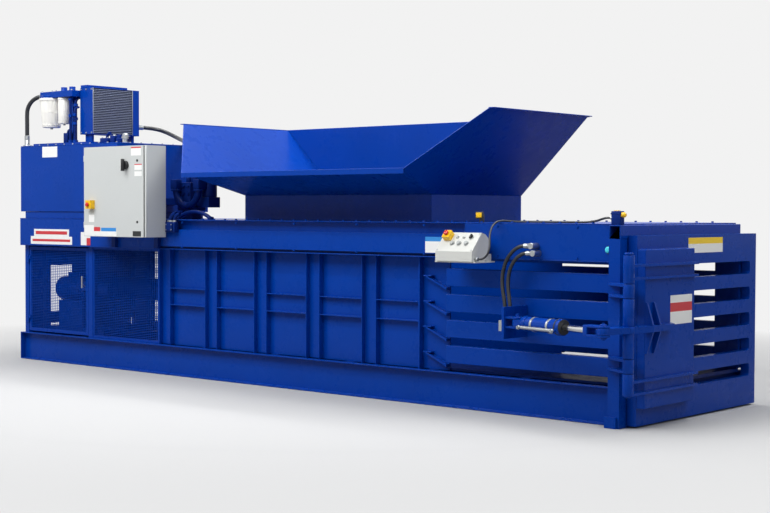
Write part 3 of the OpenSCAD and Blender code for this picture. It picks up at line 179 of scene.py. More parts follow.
@dataclass(frozen=True)
class Enamel(Finish):
    """Sprayed enamel or powder coat: an even film with a faint orange peel and uneven gloss.

    Real peel is 1 to 5 mm across. It is drawn up to 9 mm across so that it shows.
    """

    deep: str
    roughness: float = 0.3
    specular: float = 0.16
    coat: float = 0.05
    peel_mm: float = 9.0
    peel: float = 0.012
    cloud_mm: float = 700.0
    dust_mm: float = 160.0

    def skin(self, tree: Tree, where: Socket) -> Node:
        """Film with its peel, its slow change of shade and its uneven gloss."""
        cloud = add(tree, "TexNoise",
                    {"Scale": per_mm(self.cloud_mm), "Detail": 4.0, "Roughness": 0.6}, {"Vector": where})
        shade = add(tree, "Mix", {"data_type": "RGBA", 6: linear(self.colour), 7: linear(self.deep)},
                    {0: cloud.outputs["Fac"]})
        fine = add(tree, "TexNoise", {"Scale": per_mm(self.peel_mm), "Detail": 2.0}, {"Vector": where})
        dust = add(tree, "TexNoise",
                   {"Scale": per_mm(self.dust_mm), "Detail": 6.0, "Roughness": 0.7}, {"Vector": where})
        gloss = add(tree, "MapRange", {"From Min": 0.35, "From Max": 0.75, "To Min": self.roughness * 0.75,
                     "To Max": self.roughness * 1.5}, {"Value": dust.outputs["Fac"]})
        bump = add(tree, "Bump", {"Strength": self.peel, "Distance": 0.002},
                   {"Height": fine.outputs["Fac"]})
        return add(tree, "BsdfPrincipled",
                   {"IOR": 1.5, "Specular IOR Level": self.specular, "Coat Weight": self.coat,
                    "Coat Roughness": 0.08, "Coat IOR": 1.5},
                   {"Base Color": shade.outputs[2], "Roughness": gloss.outputs[0],
                    "Normal": bump.outputs[0]})


@dataclass(frozen=True)
class Grained(Finish):
    """A surface with a fine relief, a slow change of shade and patchy gloss."""

    roughness: float = 0.45
    bump: float = 0.04
    slow_mm: float = 60.0
    detail: float = 3.0
    tone: Pair = (0.88, 1.12)
    gloss: Pair = (0.8, 1.2)
    metallic: float = 0.0

    def relief(self, tree: Tree, where: Socket) -> Socket:
        """Height of the relief, which each kind of surface draws for itself."""
        raise NotImplementedError

    def skin(self, tree: Tree, where: Socket) -> Node:
        """Surface with its relief, shade and gloss."""
        slow = add(tree, "TexNoise", {"Scale": per_mm(self.slow_mm), "Detail": self.detail},
                   {"Vector": where}).outputs["Fac"]
        tone = add(tree, "MapRange", {"To Min": self.tone[0], "To Max": self.tone[1]}, {"Value": slow})
        shade = add(tree, "HueSaturation", {"Color": linear(self.colour)}, {"Value": tone.outputs[0]})
        low, high = (self.roughness * share for share in self.gloss)
        gloss = add(tree, "MapRange", {"To Min": low, "To Max": high}, {"Value": slow})
        bump = add(tree, "Bump", {"Strength": self.bump, "Distance": 0.001},
                   {"Height": self.relief(tree, where)})
        return add(tree, "BsdfPrincipled", {"Metallic": self.metallic, "IOR": 1.5},
                   {"Base Color": shade.outputs[0], "Roughness": gloss.outputs[0],
                    "Normal": bump.outputs[0]})


@dataclass(frozen=True)
class Moulded(Grained):
    """Moulded or cast plastic: grain from the mould, a soft or clear gloss.

    Real grain is under 0.5 mm across. It is drawn 2.5 mm across so that it shows.
    """

    grain_mm: float = 2.5

    def relief(self, tree: Tree, where: Socket) -> Socket:
        """Grain of the mould."""
        return add(tree, "TexNoise", {"Scale": per_mm(self.grain_mm), "Detail": 3.0},
                   {"Vector": where}).outputs["Fac"]


@dataclass(frozen=True)
class Metal(Grained):
    """Bare or plated metal: turning or brushing lines along one axis and patchy gloss.

    Real lines are under 0.2 mm apart. They are drawn 1.5 mm apart so that they show.
    """

    roughness: float = 0.3
    bump: float = 0.03
    slow_mm: float = 50.0
    detail: float = 4.0
    tone: Pair = (0.9, 1.06)
    gloss: Pair = (0.7, 1.4)
    metallic: float = 1.0
    line_mm: float = 1.5
    stretch: float = 12.0

    def relief(self, tree: Tree, where: Socket) -> Socket:
        """Fine lines, long in X."""
        turned = add(tree, "Mapping", {"Scale": (1.0, self.stretch, self.stretch)}, {"Vector": where})
        return add(tree, "TexNoise", {"Scale": per_mm(self.line_mm * self.stretch), "Detail": 3.0},
                   {"Vector": turned.outputs[0]}).outputs["Fac"]


@dataclass(frozen=True)
class HoseCover(Grained):
    """Wrapped rubber hose cover: each turn of the cloth wrap leaves a faint diagonal mark.

    The weave of the cloth is too fine to show, so only the turns of the wrap are drawn.
    """

    roughness: float = 0.28
    bump: float = 0.15
    slow_mm: float = 40.0
    detail: float = 4.0
    tone: Pair = (0.75, 1.35)
    gloss: Pair = (1.0, 1.0)
    wrap_mm: float = 87.06
    # Radians to a unit of a wave texture of scale 1, along the diagonal.
    wave: float = 10.0 * math.sqrt(3.0)

    def relief(self, tree: Tree, where: Socket) -> Socket:
        """Mark of the wrap."""
        return add(tree, "TexWave",
                   {"Scale": per_mm(self.wrap_mm) * math.tau / self.wave, "Distortion": 0.6,
                    "bands_direction": "DIAGONAL"}, {"Vector": where}).outputs["Fac"]


@dataclass(frozen=True)
class FloorPaper(Finish):
    """Matt studio paper that keeps the shadow and melts into the backdrop far away."""

    bounce: str
    backdrop: str
    fade: Pair = (4.6, 8.5)

    def skin(self, tree: Tree, where: Socket) -> Node:
        """Paper for the camera, with a darker bounce for the rest, fading to the backdrop."""
        camera = add(tree, "LightPath").outputs["Is Camera Ray"]
        reach = add(tree, "VectorMath", {"operation": "LENGTH"}, {0: where})
        far = add(tree, "MapRange", {"From Min": self.fade[0], "From Max": self.fade[1]},
                  {"Value": reach.outputs["Value"]})
        seen = add(tree, "Math", {"operation": "MULTIPLY"}, {0: far.outputs[0], 1: camera})
        shade = add(tree, "Mix",
                    {"data_type": "RGBA", 6: linear(self.bounce), 7: linear(self.colour)}, {0: camera})
        paper = add(tree, "BsdfDiffuse", {}, {"Color": shade.outputs[2]})
        glow = add(tree, "Emission", {"Color": linear(self.backdrop), "Strength": 1.0})
        return add(tree, "MixShader", {}, {0: seen.outputs[0], 1: paper.outputs[0], 2: glow.outputs[0]})


class Finishes:
    """Every finish of the machine, built once and handed out by name."""

    # Finishes that go by the name of one of the record's material slots.
    SLOTS = {
        # Air-dried blue enamel on welded steel: deep even colour with a soft sheen.
        "blue_paint": Enamel("sprayed_blue_enamel", "#003ca0", "#00348c", specular=0.1),
        # The same enamel in a darker, duller blue.
        "dark_blue_paint": Enamel("darker_blue_enamel", "#082a78", "#07215f", roughness=0.4, specular=0.08),
        # Grey textured powder coat: even light grey with a fine pebble that breaks up the shine.
        "grey_paint": Enamel("grey_powder_coat", "#c4c7c6", "#bdc0bf", roughness=0.5, specular=0.3,
                             coat=0.0, peel_mm=3.0, peel=0.03),
        # Pale powder coat: almost white, with the same fine pebble.
        "ivory_paint": Enamel("pale_powder_coat", "#cfd0cb", "#c6c7c2", roughness=0.5, specular=0.3,
                              coat=0.0, peel_mm=3.0, peel=0.03),
        # Nylon filter bowl: milky white, smooth, with a soft shine.
        "white_plastic": Moulded("moulded_white_nylon", "#eceae4", roughness=0.4, tone=(0.97, 1.03)),
        # Glass-filled nylon: near black, with a dull grain from the mould.
        "black_plastic": Moulded("moulded_black_nylon", "#1b1c1e"),
        # Polycarbonate push buttons: glossy pale grey.
        "grey_plastic": Moulded("moulded_grey_polycarbonate", "#a9adab", roughness=0.25),
        # Polycarbonate stop housings: strong warm yellow with a clear gloss.
        "yellow_plastic": Moulded("moulded_yellow_polycarbonate", "#f0bd12", 0.28, tone=(0.95, 1.05)),
        # Polycarbonate stop heads: deep red with a clear gloss.
        "red_plastic": Moulded("moulded_red_polycarbonate", "#c9281c", 0.25, tone=(0.95, 1.05)),
        # Cloth-wrapped hose rubber: charcoal, with a faint diagonal mark from the wrap.
        "black_rubber": HoseCover("wrapped_rubber_hose", "#24262b"),
        # Black-painted aluminium cooler core: dark slate between the brighter fin edges.
        "black_aluminium": Metal("black_coated_aluminium", "#2a2f42", roughness=0.55),
        # Turned steel: bright grey with fine rings.
        "bright_steel": Metal("bright_turned_steel", "#c3c5c6", roughness=0.32),
        # Hard chrome on a ground rod: nearly a mirror.
        "rod_chrome": Metal("hard_chromed_rod", "#e6e7e6", roughness=0.1, bump=0.005),
        # Zinc plate on fittings and bolts: pale grey, patchy.
        "plated_steel": Metal("zinc_plated_steel", "#b4b8bb", roughness=0.35),
    }
    # Finishes of small pieces that have no slot in the record.
    OTHERS = {
        # Acrylic lamp lens: clear cyan.
        "cyan_lens": Moulded("moulded_cyan_lens", "#49d5e6", roughness=0.2, tone=(0.96, 1.04)),
        # Thin aluminium fins: dull slate grey, lighter than the core behind them.
        "thin_fin": Metal("thin_aluminium_fin", "#8f97ad", roughness=0.45),
    }
    # Plain vinyl sign sheets: flat colour with a slight sheen.
    SHEETS = {"white": "#e9e9e7", "yellow": "#f0c91a", "red": "#c8323a", "blue": "#2f86cf",
              "black": "#232527"}

    def __init__(self) -> None:
        """Builds the materials."""
        vinyl = {f"{key}_sheet": Moulded(f"plain_{key}_vinyl", code, 0.35, bump=0.01, tone=(0.99, 1.01))
                 for key, code in self.SHEETS.items()}
        self.made = {key: finish.build() for key, finish in {**self.SLOTS, **self.OTHERS, **vinyl}.items()}


class Bench:
    """Makes one piece out of bmesh shapes and puts it on its body."""

    SAME_POINT = 1e-6
    SHARP_DEGREES = 35.0
    RIM_SHARE = 0.25
    # Washer and head of a bolt: radius by its width, start and end by its height, and facets.
    BOLT = ((0.62, 0.0, 0.2, 16), (0.5, 0.2, 1.0, 6))
    BOLT_TAPER = 0.97
    # Stem of a stop button: radius and length in metres.
    STEM = (0.0107, 0.048)
    # Head of a stop button: how far it draws in from its radius, and heights.
    HEAD = ((0.002, 0.0), (0.0, 0.002), (0.0, 0.007), (0.0015, 0.0115), (0.006, 0.0145), (0.015, 0.016))
    BUTTON_FACETS = 40
    PIPE_FACETS = 20

    def __init__(self, finishes: Finishes) -> None:
        """Starts with an empty mesh."""
        self.finishes = finishes
        self.mesh = bmesh.new()

    def block(self, low: Vector, high: Vector, edge: float, segments: int = 2) -> "Bench":
        """Adds a box with rounded edges.

        Args:
            low: Lowest corner in metres.
            high: Highest corner in metres.
            edge: Width of the rounding in metres.
            segments: Steps in the rounding.

        Returns:
            This bench.
        """
        place = Matrix.Translation((low + high) / 2) @ Matrix.Diagonal((*(high - low), 1.0))
        made = bmesh.ops.create_cube(self.mesh, size=1.0, matrix=place)
        edges = list(dict.fromkeys(e for v in made["verts"] for e in v.link_edges))
        bmesh.ops.bevel(self.mesh, geom=edges, offset=edge, affect="EDGES", segments=segments,
                        profile=0.5, material=-1)
        return self

    def slab(self, low: Point, high: Point, edge: float, segments: int = 2) -> "Bench":
        """Adds a box like block, between two places on the machine in millimetres."""
        return self.block(spot(*low), spot(*high), edge, segments)

    def spun(self, outline: Sequence[Pair], closed: bool, foot: Vector, axis: Vector, steps: int) -> "Bench":
        """Spins an outline round an axis.

        Args:
            outline: Radius and height pairs in metres.
            closed: Whether its last point joins its first.
            foot: Point on the axis where the height is zero.
            axis: Direction of the axis.
            steps: Facets round the axis.

        Returns:
            This bench.
        """
        axis = axis.normalized()
        side = axis.orthogonal().normalized()
        verts = [self.mesh.verts.new(foot + side * r + axis * h) for r, h in outline]
        ends = verts[1:] + verts[:1] if closed else verts[1:]
        edges = [self.mesh.edges.new(pair) for pair in zip(verts, ends)]
        bmesh.ops.spin(self.mesh, geom=verts + edges, cent=foot, axis=axis, angle=math.tau, steps=steps,
                       use_merge=True)
        bmesh.ops.remove_doubles(self.mesh, verts=self.mesh.verts, dist=self.SAME_POINT)
        return self

    def turned(self, profile: Sequence[Pair], foot: Vector, axis: Vector, steps: int = 32) -> "Bench":
        """Adds a lathe-turned solid, from radius and height pairs that run from the foot to the top."""
        outline = [(0.0, profile[0][1]), *profile, (0.0, profile[-1][1])]
        return self.spun(outline, False, foot, axis, steps)

    def ring(self, inner: float, outer: float, height: float, foot: Vector, axis: Vector,
             steps: int = 32) -> "Bench":
        """Adds a plain collar with a softened rim round an axis.

        Args:
            inner: Bore radius in metres.
            outer: Outside radius in metres.
            height: Height in metres.
            foot: Point on the axis at the collar's foot.
            axis: Direction of the axis.
            steps: Facets round the axis.

        Returns:
            This bench.
        """
        soft = min(outer - inner, height) * self.RIM_SHARE
        outline = [(inner, 0.0), (outer, 0.0), (outer, height - soft), (outer - soft, height),
                   (inner, height)]
        return self.spun(outline, True, foot, axis, steps)

    def bolt(self, seat: Vector, axis: Vector, across: float, height: float) -> "Bench":
        """Adds a hexagon bolt head on its washer.

        Args:
            seat: Middle of the seat.
            axis: Direction that the head points in.
            across: Width across the corners in metres.
            height: Height of the head in metres.

        Returns:
            This bench.
        """
        axis = axis.normalized()
        turn = axis.to_track_quat("Z", "Y").to_matrix().to_4x4()
        for share, start, end, facets in self.BOLT:
            radius, low, high = across * share, height * start, height * end
            bmesh.ops.create_cone(self.mesh, cap_ends=True, segments=facets, radius1=radius,
                                  radius2=radius * self.BOLT_TAPER, depth=high - low,
                                  matrix=Matrix.Translation(seat + axis * (low + high) / 2) @ turn)
        return self

    def bolts(self, seats: Iterable[Point], axis: Vector, across: float, height: float) -> "Bench":
        """Adds a bolt head at each of these places on the machine, in millimetres."""
        for seat in seats:
            self.bolt(spot(*seat), axis, across, height)
        return self

    def mushroom(self, cap: float, foot: Vector, axis: Vector) -> "Bench":
        """Adds a stop button with a domed head.

        Args:
            cap: Radius of the head in metres.
            foot: Inner end of the stem.
            axis: Direction that the head points in.

        Returns:
            This bench.
        """
        stem, long = self.STEM
        head = [(cap - inset, long + height) for inset, height in self.HEAD]
        return self.turned([(stem, 0.0), (stem, long), *head], foot, axis, self.BUTTON_FACETS)

    def bend(self, tube: float, start: Vector, centre: Vector, axis: Vector, angle: float,
             steps: int = 12) -> "Bench":
        """Adds a bent pipe with closed ends.

        Args:
            tube: Radius of the pipe in metres.
            start: Middle of the pipe's first end.
            centre: Point that the bend turns about.
            axis: Direction of the axis that it turns about.
            angle: Angle of the bend in degrees.
            steps: Steps along the bend.

        Returns:
            This bench.
        """
        way = axis.normalized().cross((start - centre).normalized())
        turn = way.to_track_quat("Z", "Y").to_matrix().to_4x4()
        made = bmesh.ops.create_circle(self.mesh, cap_ends=True, segments=self.PIPE_FACETS, radius=tube,
                                       matrix=Matrix.Translation(start) @ turn)
        bmesh.ops.spin(self.mesh, geom=list(made["verts"][0].link_faces), cent=centre, axis=axis,
                       angle=math.radians(angle), steps=steps)
        return self

    def grid(self, low: Vector, high: Vector, pitch: Pair, wire: float) -> "Bench":
        """Adds an upright sheet of wire mesh across Y.

        Args:
            low: Lowest corner; its Y is the sheet's plane.
            high: Highest corner.
            pitch: Spacing of the openings across and up, in metres.
            wire: Thickness of a strand in metres.

        Returns:
            This bench.
        """
        size = high - low
        across, up = round(size.x / pitch[0]), round(size.z / pitch[1])
        place = Matrix.Translation((low + high) / 2) @ Matrix.Rotation(math.pi / 2, 4, "X")
        made = bmesh.ops.create_grid(self.mesh, x_segments=across, y_segments=up, size=0.5,
                                     matrix=place @ Matrix.Diagonal((size.x, size.z, 1.0, 1.0)))
        faces = list(dict.fromkeys(f for v in made["verts"] for f in v.link_faces))
        bmesh.ops.wireframe(self.mesh, faces=faces, thickness=wire, offset=0.0, use_replace=True,
                            use_boundary=True, use_even_offset=True)
        return self

    def take(self, other: "Bench") -> "Bench":
        """Adds everything from another bench, which is then empty."""
        data = bpy.data.meshes.new("passing")
        other.mesh.to_mesh(data)
        other.mesh.free()
        self.mesh.from_mesh(data)
        bpy.data.meshes.remove(data)
        return self

    def turn(self, matrix: Matrix) -> "Bench":
        """Moves everything on the bench by a matrix."""
        bmesh.ops.transform(self.mesh, matrix=matrix, verts=self.mesh.verts)
        return self

    def done(self, name: str, finish: str, body: Body = Body.FRAME, replaces: Sequence[str] = (),
             smooth: bool = True) -> None:
        """Closes the mesh and puts the piece on its body.

        Args:
            name: Name of the piece.
            finish: Name of its finish, which is its slot where the record has one.
            body: The body that it rides on.
            replaces: CAD nodes that it stands for.
            smooth: Whether rounded faces shade smoothly.
        """
        bmesh.ops.recalc_face_normals(self.mesh, faces=self.mesh.faces)
        data = bpy.data.meshes.new(name)
        self.mesh.to_mesh(data)
        self.mesh.free()
        if smooth:
            data.shade_smooth()
            data.set_sharp_from_angle(angle=math.radians(self.SHARP_DEGREES))
        data.materials.append(self.finishes.made[finish])
        made = stand(name, data)
        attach(made, body.value)
        if replaces:
            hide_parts(*replaces)
        LOG.info("piece %s on %s: %d faces", name, body.value, len(data.polygons))


@dataclass(frozen=True)
class Lamp:
    """One soft box or row of tubes."""

    name: str
    place: Point
    target: Point
    size: Pair
    watts: float

    def hang(self) -> None:
        """Hangs the lamp at its place, turned to its target."""
        data = bpy.data.lights.new(self.name, "AREA")
        data.shape, data.energy = "RECTANGLE", self.watts
        data.size, data.size_y = self.size
        made = stand(self.name, data)
        made.location = self.place
        made.rotation_euler = (Vector(self.target) - Vector(self.place)).to_track_quat("-Z", "Y").to_euler()


@dataclass
class Studio:
    """Camera, floor, lamps and the plain pale surroundings."""

    eye: Point = (10.1486, -10.9528, 1.7043)
    yaw: float = 40.955
    pitch: float = 1.778
    roll: float = 0.196
    lens: float = 68.51
    sensor: float = 36.0
    clip: Pair = (0.1, 200.0)
    backdrop: str = "#f2f2f2"
    paper: str = "#b8b8b8"
    bounce: str = "#a0a0a0"
    room: str = "#e9edf4"
    fill: float = 0.34
    floor_size: float = 60.0
    floor_drop: float = 0.002
    lamps: Sequence[Lamp] = (
        Lamp("overhead_box", (0.0, 1.0, 9.0), (0.0, 0.3, 0.0), (12.0, 5.0), 760.0),
        Lamp("front_box", (-2.0, -8.5, 8.5), (-0.5, 0.0, 1.0), (10.0, 4.0), 930.0),
        Lamp("door_box", (11.0, -3.0, 6.0), (3.5, 0.0, 1.0), (4.0, 4.0), 110.0),
        Lamp("front_tubes", (0.0, -4.5, 7.0), (0.0, 0.0, 1.0), (14.0, 0.15), 260.0),
        Lamp("middle_tubes", (0.0, 1.5, 7.5), (0.0, 1.0, 0.0), (14.0, 0.15), 200.0),
        Lamp("end_tubes", (9.0, 0.0, 6.5), (4.0, 0.0, 1.0), (0.15, 8.0), 90.0))

    def camera(self) -> None:
        """Sets the camera at the photograph's viewpoint."""
        data = bpy.data.cameras.new("viewpoint")
        data.sensor_fit, data.sensor_width, data.lens = "HORIZONTAL", self.sensor, self.lens
        data.clip_start, data.clip_end = self.clip
        made = stand("viewpoint", data)
        made.matrix_world = (Matrix.Translation(self.eye) @ Matrix.Rotation(math.radians(self.yaw), 4, "Z")
                             @ Matrix.Rotation(math.radians(90.0 - self.pitch), 4, "X")
                             @ Matrix.Rotation(math.radians(self.roll), 4, "Z"))
        bpy.context.scene.camera = made

    def floor(self) -> None:
        """Lays a wide pale floor just under the machine."""
        bench = bmesh.new()
        bmesh.ops.create_grid(bench, x_segments=1, y_segments=1, size=self.floor_size,
                              matrix=Matrix.Translation((0.0, 0.0, -self.floor_drop)))
        data = bpy.data.meshes.new("studio_floor")
        bench.to_mesh(data)
        bench.free()
        paper = FloorPaper("pale_studio_floor", self.paper, self.bounce, self.backdrop)
        data.materials.append(paper.build())
        stand("studio_floor", data)

    def surroundings(self) -> None:
        """Shows the pale backdrop to the camera and to reflections, and a softer fill to the rest."""
        world = bpy.data.worlds.new("pale_room")
        world.use_nodes = True
        tree = world.node_tree
        tree.nodes.clear()
        path = add(tree, "LightPath")
        seen = add(tree, "Math", {"operation": "MAXIMUM"},
                   {0: path.outputs["Is Camera Ray"], 1: path.outputs["Is Transmission Ray"]})
        shiny = add(tree, "Math", {"operation": "MAXIMUM"},
                    {0: seen.outputs[0], 1: path.outputs["Is Glossy Ray"]})
        room = add(tree, "Background", {"Color": linear(self.room), "Strength": self.fill})
        shown = add(tree, "Background", {"Color": linear(self.backdrop), "Strength": 1.0})
        both = add(tree, "MixShader", {}, {0: shiny.outputs[0], 1: room.outputs[0], 2: shown.outputs[0]})
        add(tree, "OutputWorld", {}, {0: both.outputs[0]})
        bpy.context.scene.world = world

    def build(self) -> None:
        """Sets up the whole studio."""
        bpy.context.scene.view_settings.view_transform = "Standard"
        self.camera()
        self.floor()
        self.surroundings()
        for lamp in self.lamps:
            lamp.hang()


@dataclass
class Trim:
    """Base of the classes that dress one part of the machine."""

    finishes: Finishes

    def bench(self) -> Bench:
        """An empty bench with the machine's finishes."""
        return Bench(self.finishes)

    def build(self) -> None:
        """Makes the pieces."""
        raise NotImplementedError


@dataclass(frozen=True)
class Cord:
    """A hose or cable: its piece, its CAD node, its diameter in metres and its route in millimetres."""

    name: str
    node: str
    diameter: float
    stiffness: str
    route: Sequence[Point]

    def lay(self, finishes: Finishes) -> None:
        """Lays the cord along its route."""
        points = [spot(*p) for p in self.route]
        data = bpy.data.curves.new(self.name, "CURVE")
        data.dimensions, data.use_fill_caps = "3D", True
        data.bevel_depth, data.bevel_resolution = self.diameter / 2, 4
        data.resolution_u = data.render_resolution_u = 6
        line = data.splines.new("BEZIER")
        line.bezier_points.add(len(points) - 1)
        for knot, point in zip(line.bezier_points, points):
            knot.co, knot.handle_left_type, knot.handle_right_type = point, "AUTO", "AUTO"
        data.materials.append(finishes.made["black_rubber"])
        made = stand(self.name, data)
        bpy.context.view_layer.update()
        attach(made, Body.FRAME.value)
        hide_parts(self.node)


class Cords(Trim):
    """Hoses and the console cable, on the routes of the solids."""

    # Ferrule on a hose: gap and wall in metres, and length by the hose's diameter.
    FERRULE = (0.0005, 0.006, 1.1)
    HOSES = (
        Cord("suction_hose_line", "suction_hose", 0.048, "stiff", (
            (40, 75, 2500), (40, 75, 2600), (40, 75, 2700), (40, 75, 2790), (46, 77, 2850), (66, 85, 2900),
            (98, 98, 2942), (140, 115, 2973), (188, 134, 2992), (230, 150, 3000), (262, 150, 3000))),
        Cord("cooler_hose_line", "cooler_hose", 0.045, "stiff", (
            (1050, 880, 2650), (1050, 905, 2650), (1063, 975, 2648), (1106, 1039, 2640), (1167, 1081, 2625),
            (1240, 1095, 2604), (1324, 1094, 2578), (1408, 1082, 2552), (1492, 1065, 2527),
            (1576, 1035, 2506), (1659, 1000, 2488), (1743, 955, 2468), (1820, 910, 2440), (1896, 862, 2398),
            (1972, 815, 2340), (2042, 771, 2264), (2096, 742, 2172), (2122, 732, 2080), (2127, 730, 1995),
            (2127, 730, 1930), (2127, 730, 1861))),
        Cord("door_hose_outer_line", "door_hoses", 0.032, "stiff", (
            (7165, -70, 1420), (7115, -70, 1420), (7052, -71, 1400), (6995, -74, 1355), (6955, -78, 1298),
            (6930, -82, 1232), (6919, -86, 1165), (6920, -90, 1100), (6930, -95, 1040), (6944, -98, 985),
            (6955, -101, 930), (6960, -102, 885), (6960, -102, 845))),
        Cord("door_hose_inner_line", "door_hoses", 0.032, "stiff", (
            (7185, -70, 1360), (7137, -70, 1360), (7080, -72, 1338), (7035, -75, 1298), (7002, -79, 1246),
            (6984, -83, 1189), (6979, -88, 1120), (6985, -93, 1050), (6997, -97, 985), (7008, -101, 930),
            (7012, -102, 885), (7012, -102, 845))))
    CABLE = Cord("console_cable_line", "console_cable", 0.018, "medium", (
        (6785, -246, 1306), (6800, -246, 1306), (6831, -244, 1312), (6857, -240, 1329),
        (6874, -233, 1355), (6880, -224, 1386), (6878, -213, 1419), (6870, -201, 1453),
        (6858, -186, 1488), (6846, -165, 1521), (6834, -136, 1552), (6824, -100, 1582),
        (6819, -66, 1602), (6820, -34, 1616), (6830, -2, 1623), (6850, 22, 1625), (6880, 37, 1624),
        (6915, 40, 1622), (6960, 36, 1620), (7080, 28, 1620), (7300, 26, 1620), (7450, 26, 1620),
        (7600, 26, 1620), (7690, 22, 1622), (7780, 6, 1632), (7860, -30, 1648), (7910, -48, 1656),
        (7945, -48, 1656)))

    def build(self) -> None:
        """Lays every hose and the cable, with the crimped ferrules at the hose ends."""
        for cord in (*self.HOSES, self.CABLE):
            cord.lay(self.finishes)
        bench = self.bench()
        for hose in self.HOSES:
            route, radius, (gap, wall, long) = hose.route, hose.diameter * 0.5, self.FERRULE
            for end, then in ((spot(*route[0]), spot(*route[1])), (spot(*route[-1]), spot(*route[-2]))):
                bench.ring(radius + gap, radius + wall, hose.diameter * long, end, then - end, 24)
        bench.done("hose_ferrules", "plated_steel")


class Solids(Trim):
    """Gives every CAD node its finish, and softens the edges of those whose edges show."""

    # Widths of the softened edges in metres, and the nodes that have them.
    SOFT_EDGES = {
        0.002: ("beam_covers", "tie_guides", "hopper_neck"),
        0.003: ("hopper_walls", "cooler_shroud", "wall_ribs", "door_cylinder_barrel", "door_cylinder_rod",
                "door_cylinder_bracket", "hose_fittings"),
        0.004: ("cabinet_box", "cabinet_door", "base_rails", "upper_beams", "door_lever", "door_knuckles",
                "console_estop_housing", "cabinet_estop_housing"),
        0.006: ("console_box", "oil_tank", "end_posts", "door_header", "door_skin", "filter_heads",
                "valve_manifold", "filter_bowls"),
        0.01: ("end_door",),
        0.011: ("chamber_bars",)}
    SAME_CORNER = 1e-5
    FLAT_DEGREES = 0.5
    EDGE_DEGREES = 40.0

    def build(self) -> None:
        """Sets the finish of each node, and rounds the edges of the listed ones."""
        slots = {row["node"]: row["material_slot"] for row in frame["record"]["subparts"]}
        widths = {name: width for width, names in self.SOFT_EDGES.items() for name in names}
        for name, node in frame["nodes"].items():
            node.data.materials.clear()
            node.data.materials.append(self.finishes.made[slots[name]])
            if name in widths:
                node.modifiers.new("join_corners", "WELD").merge_threshold = self.SAME_CORNER
                flat = node.modifiers.new("join_flats", "DECIMATE")
                flat.decimate_type, flat.angle_limit = "DISSOLVE", math.radians(self.FLAT_DEGREES)
                soft = node.modifiers.new("soft_edges", "BEVEL")
                soft.width, soft.segments, soft.limit_method = widths[name], 2, "ANGLE"
                soft.angle_limit, soft.harden_normals = math.radians(self.EDGE_DEGREES), True
            LOG.info("node %s: %s", name, slots[name])


class MachineryCage(Trim):
    """Wire mesh panels of the cage and its hinged door."""

    PITCH = (0.034, 0.018)
    WIRE = 0.0066
    # Fixed panels: both ends along the machine and the plane that they stand in.
    PANELS = ((1240.0, 2350.0, 79.0), (70.0, 1165.0, 1921.0), (1240.0, 2350.0, 1921.0))
    LOW = 305.0
    HIGH = 1300.0
    FLAT = 25.0
    DOOR_X = (78.0, 1157.0)
    DOOR_Y = (72.0, 97.0)
    DOOR_Z = (320.0, 1285.0)
    STILE = 35.0
    HINGES = (460.5, 1140.5)

    def build(self) -> None:
        """Makes the fixed panels and the door."""
        low, high, flat = self.LOW, self.HIGH, self.FLAT
        bench = self.bench()
        for x0, x1, y in self.PANELS:
            bench.grid(spot(x0 + 12, y, low + 12), spot(x1 - 12, y, high - 12), self.PITCH, self.WIRE)
            for (xa, za), (xb, zb) in (((x0, low), (x1, low + flat)), ((x0, high - flat), (x1, high)),
                                       ((x0, low + flat), (x0 + flat, high - flat)),
                                       ((x1 - flat, low + flat), (x1, high - flat))):
                bench.slab((xa, y - 3, za), (xb, y + 3, zb), 0.001, 1)
        bench.done("cage_panel_mesh", "blue_paint", replaces=["cage_panels"], smooth=False)
        self.door()

    def door(self) -> None:
        """Makes the hinged door: frame, mesh, latch plate and hinge leaves."""
        (x0, x1), (y0, y1), (z0, z1), side = self.DOOR_X, self.DOOR_Y, self.DOOR_Z, self.STILE
        bench = self.bench()
        bench.grid(spot(x0 + 20, y0 + 3, z0 + 20), spot(x1 - 20, y0 + 3, z1 - 20), self.PITCH, self.WIRE)
        for (xa, za), (xb, zb) in (((x0, z0), (x0 + side, z1)), ((x1 - side, z0), (x1, z1)),
                                   ((x0 + side, z0), (x1 - side, z0 + side)),
                                   ((x0 + side, z1 - side), (x1 - side, z1)),
                                   ((1057, 815), (x1 - side, 915))):
            bench.slab((xa, y0, za), (xb, y1, zb), 0.002)
        for z in self.HINGES:
            bench.ring(0.00605, 0.012, 0.04, spot(74, 58, z), Axis.Z, 24)
            bench.slab((82, 58, z), (110, y0, z + 40), 0.001, 1)
        bench.done("cage_door_mesh", "blue_paint", Body.CAGE_DOOR, ["cage_door"], smooth=False)


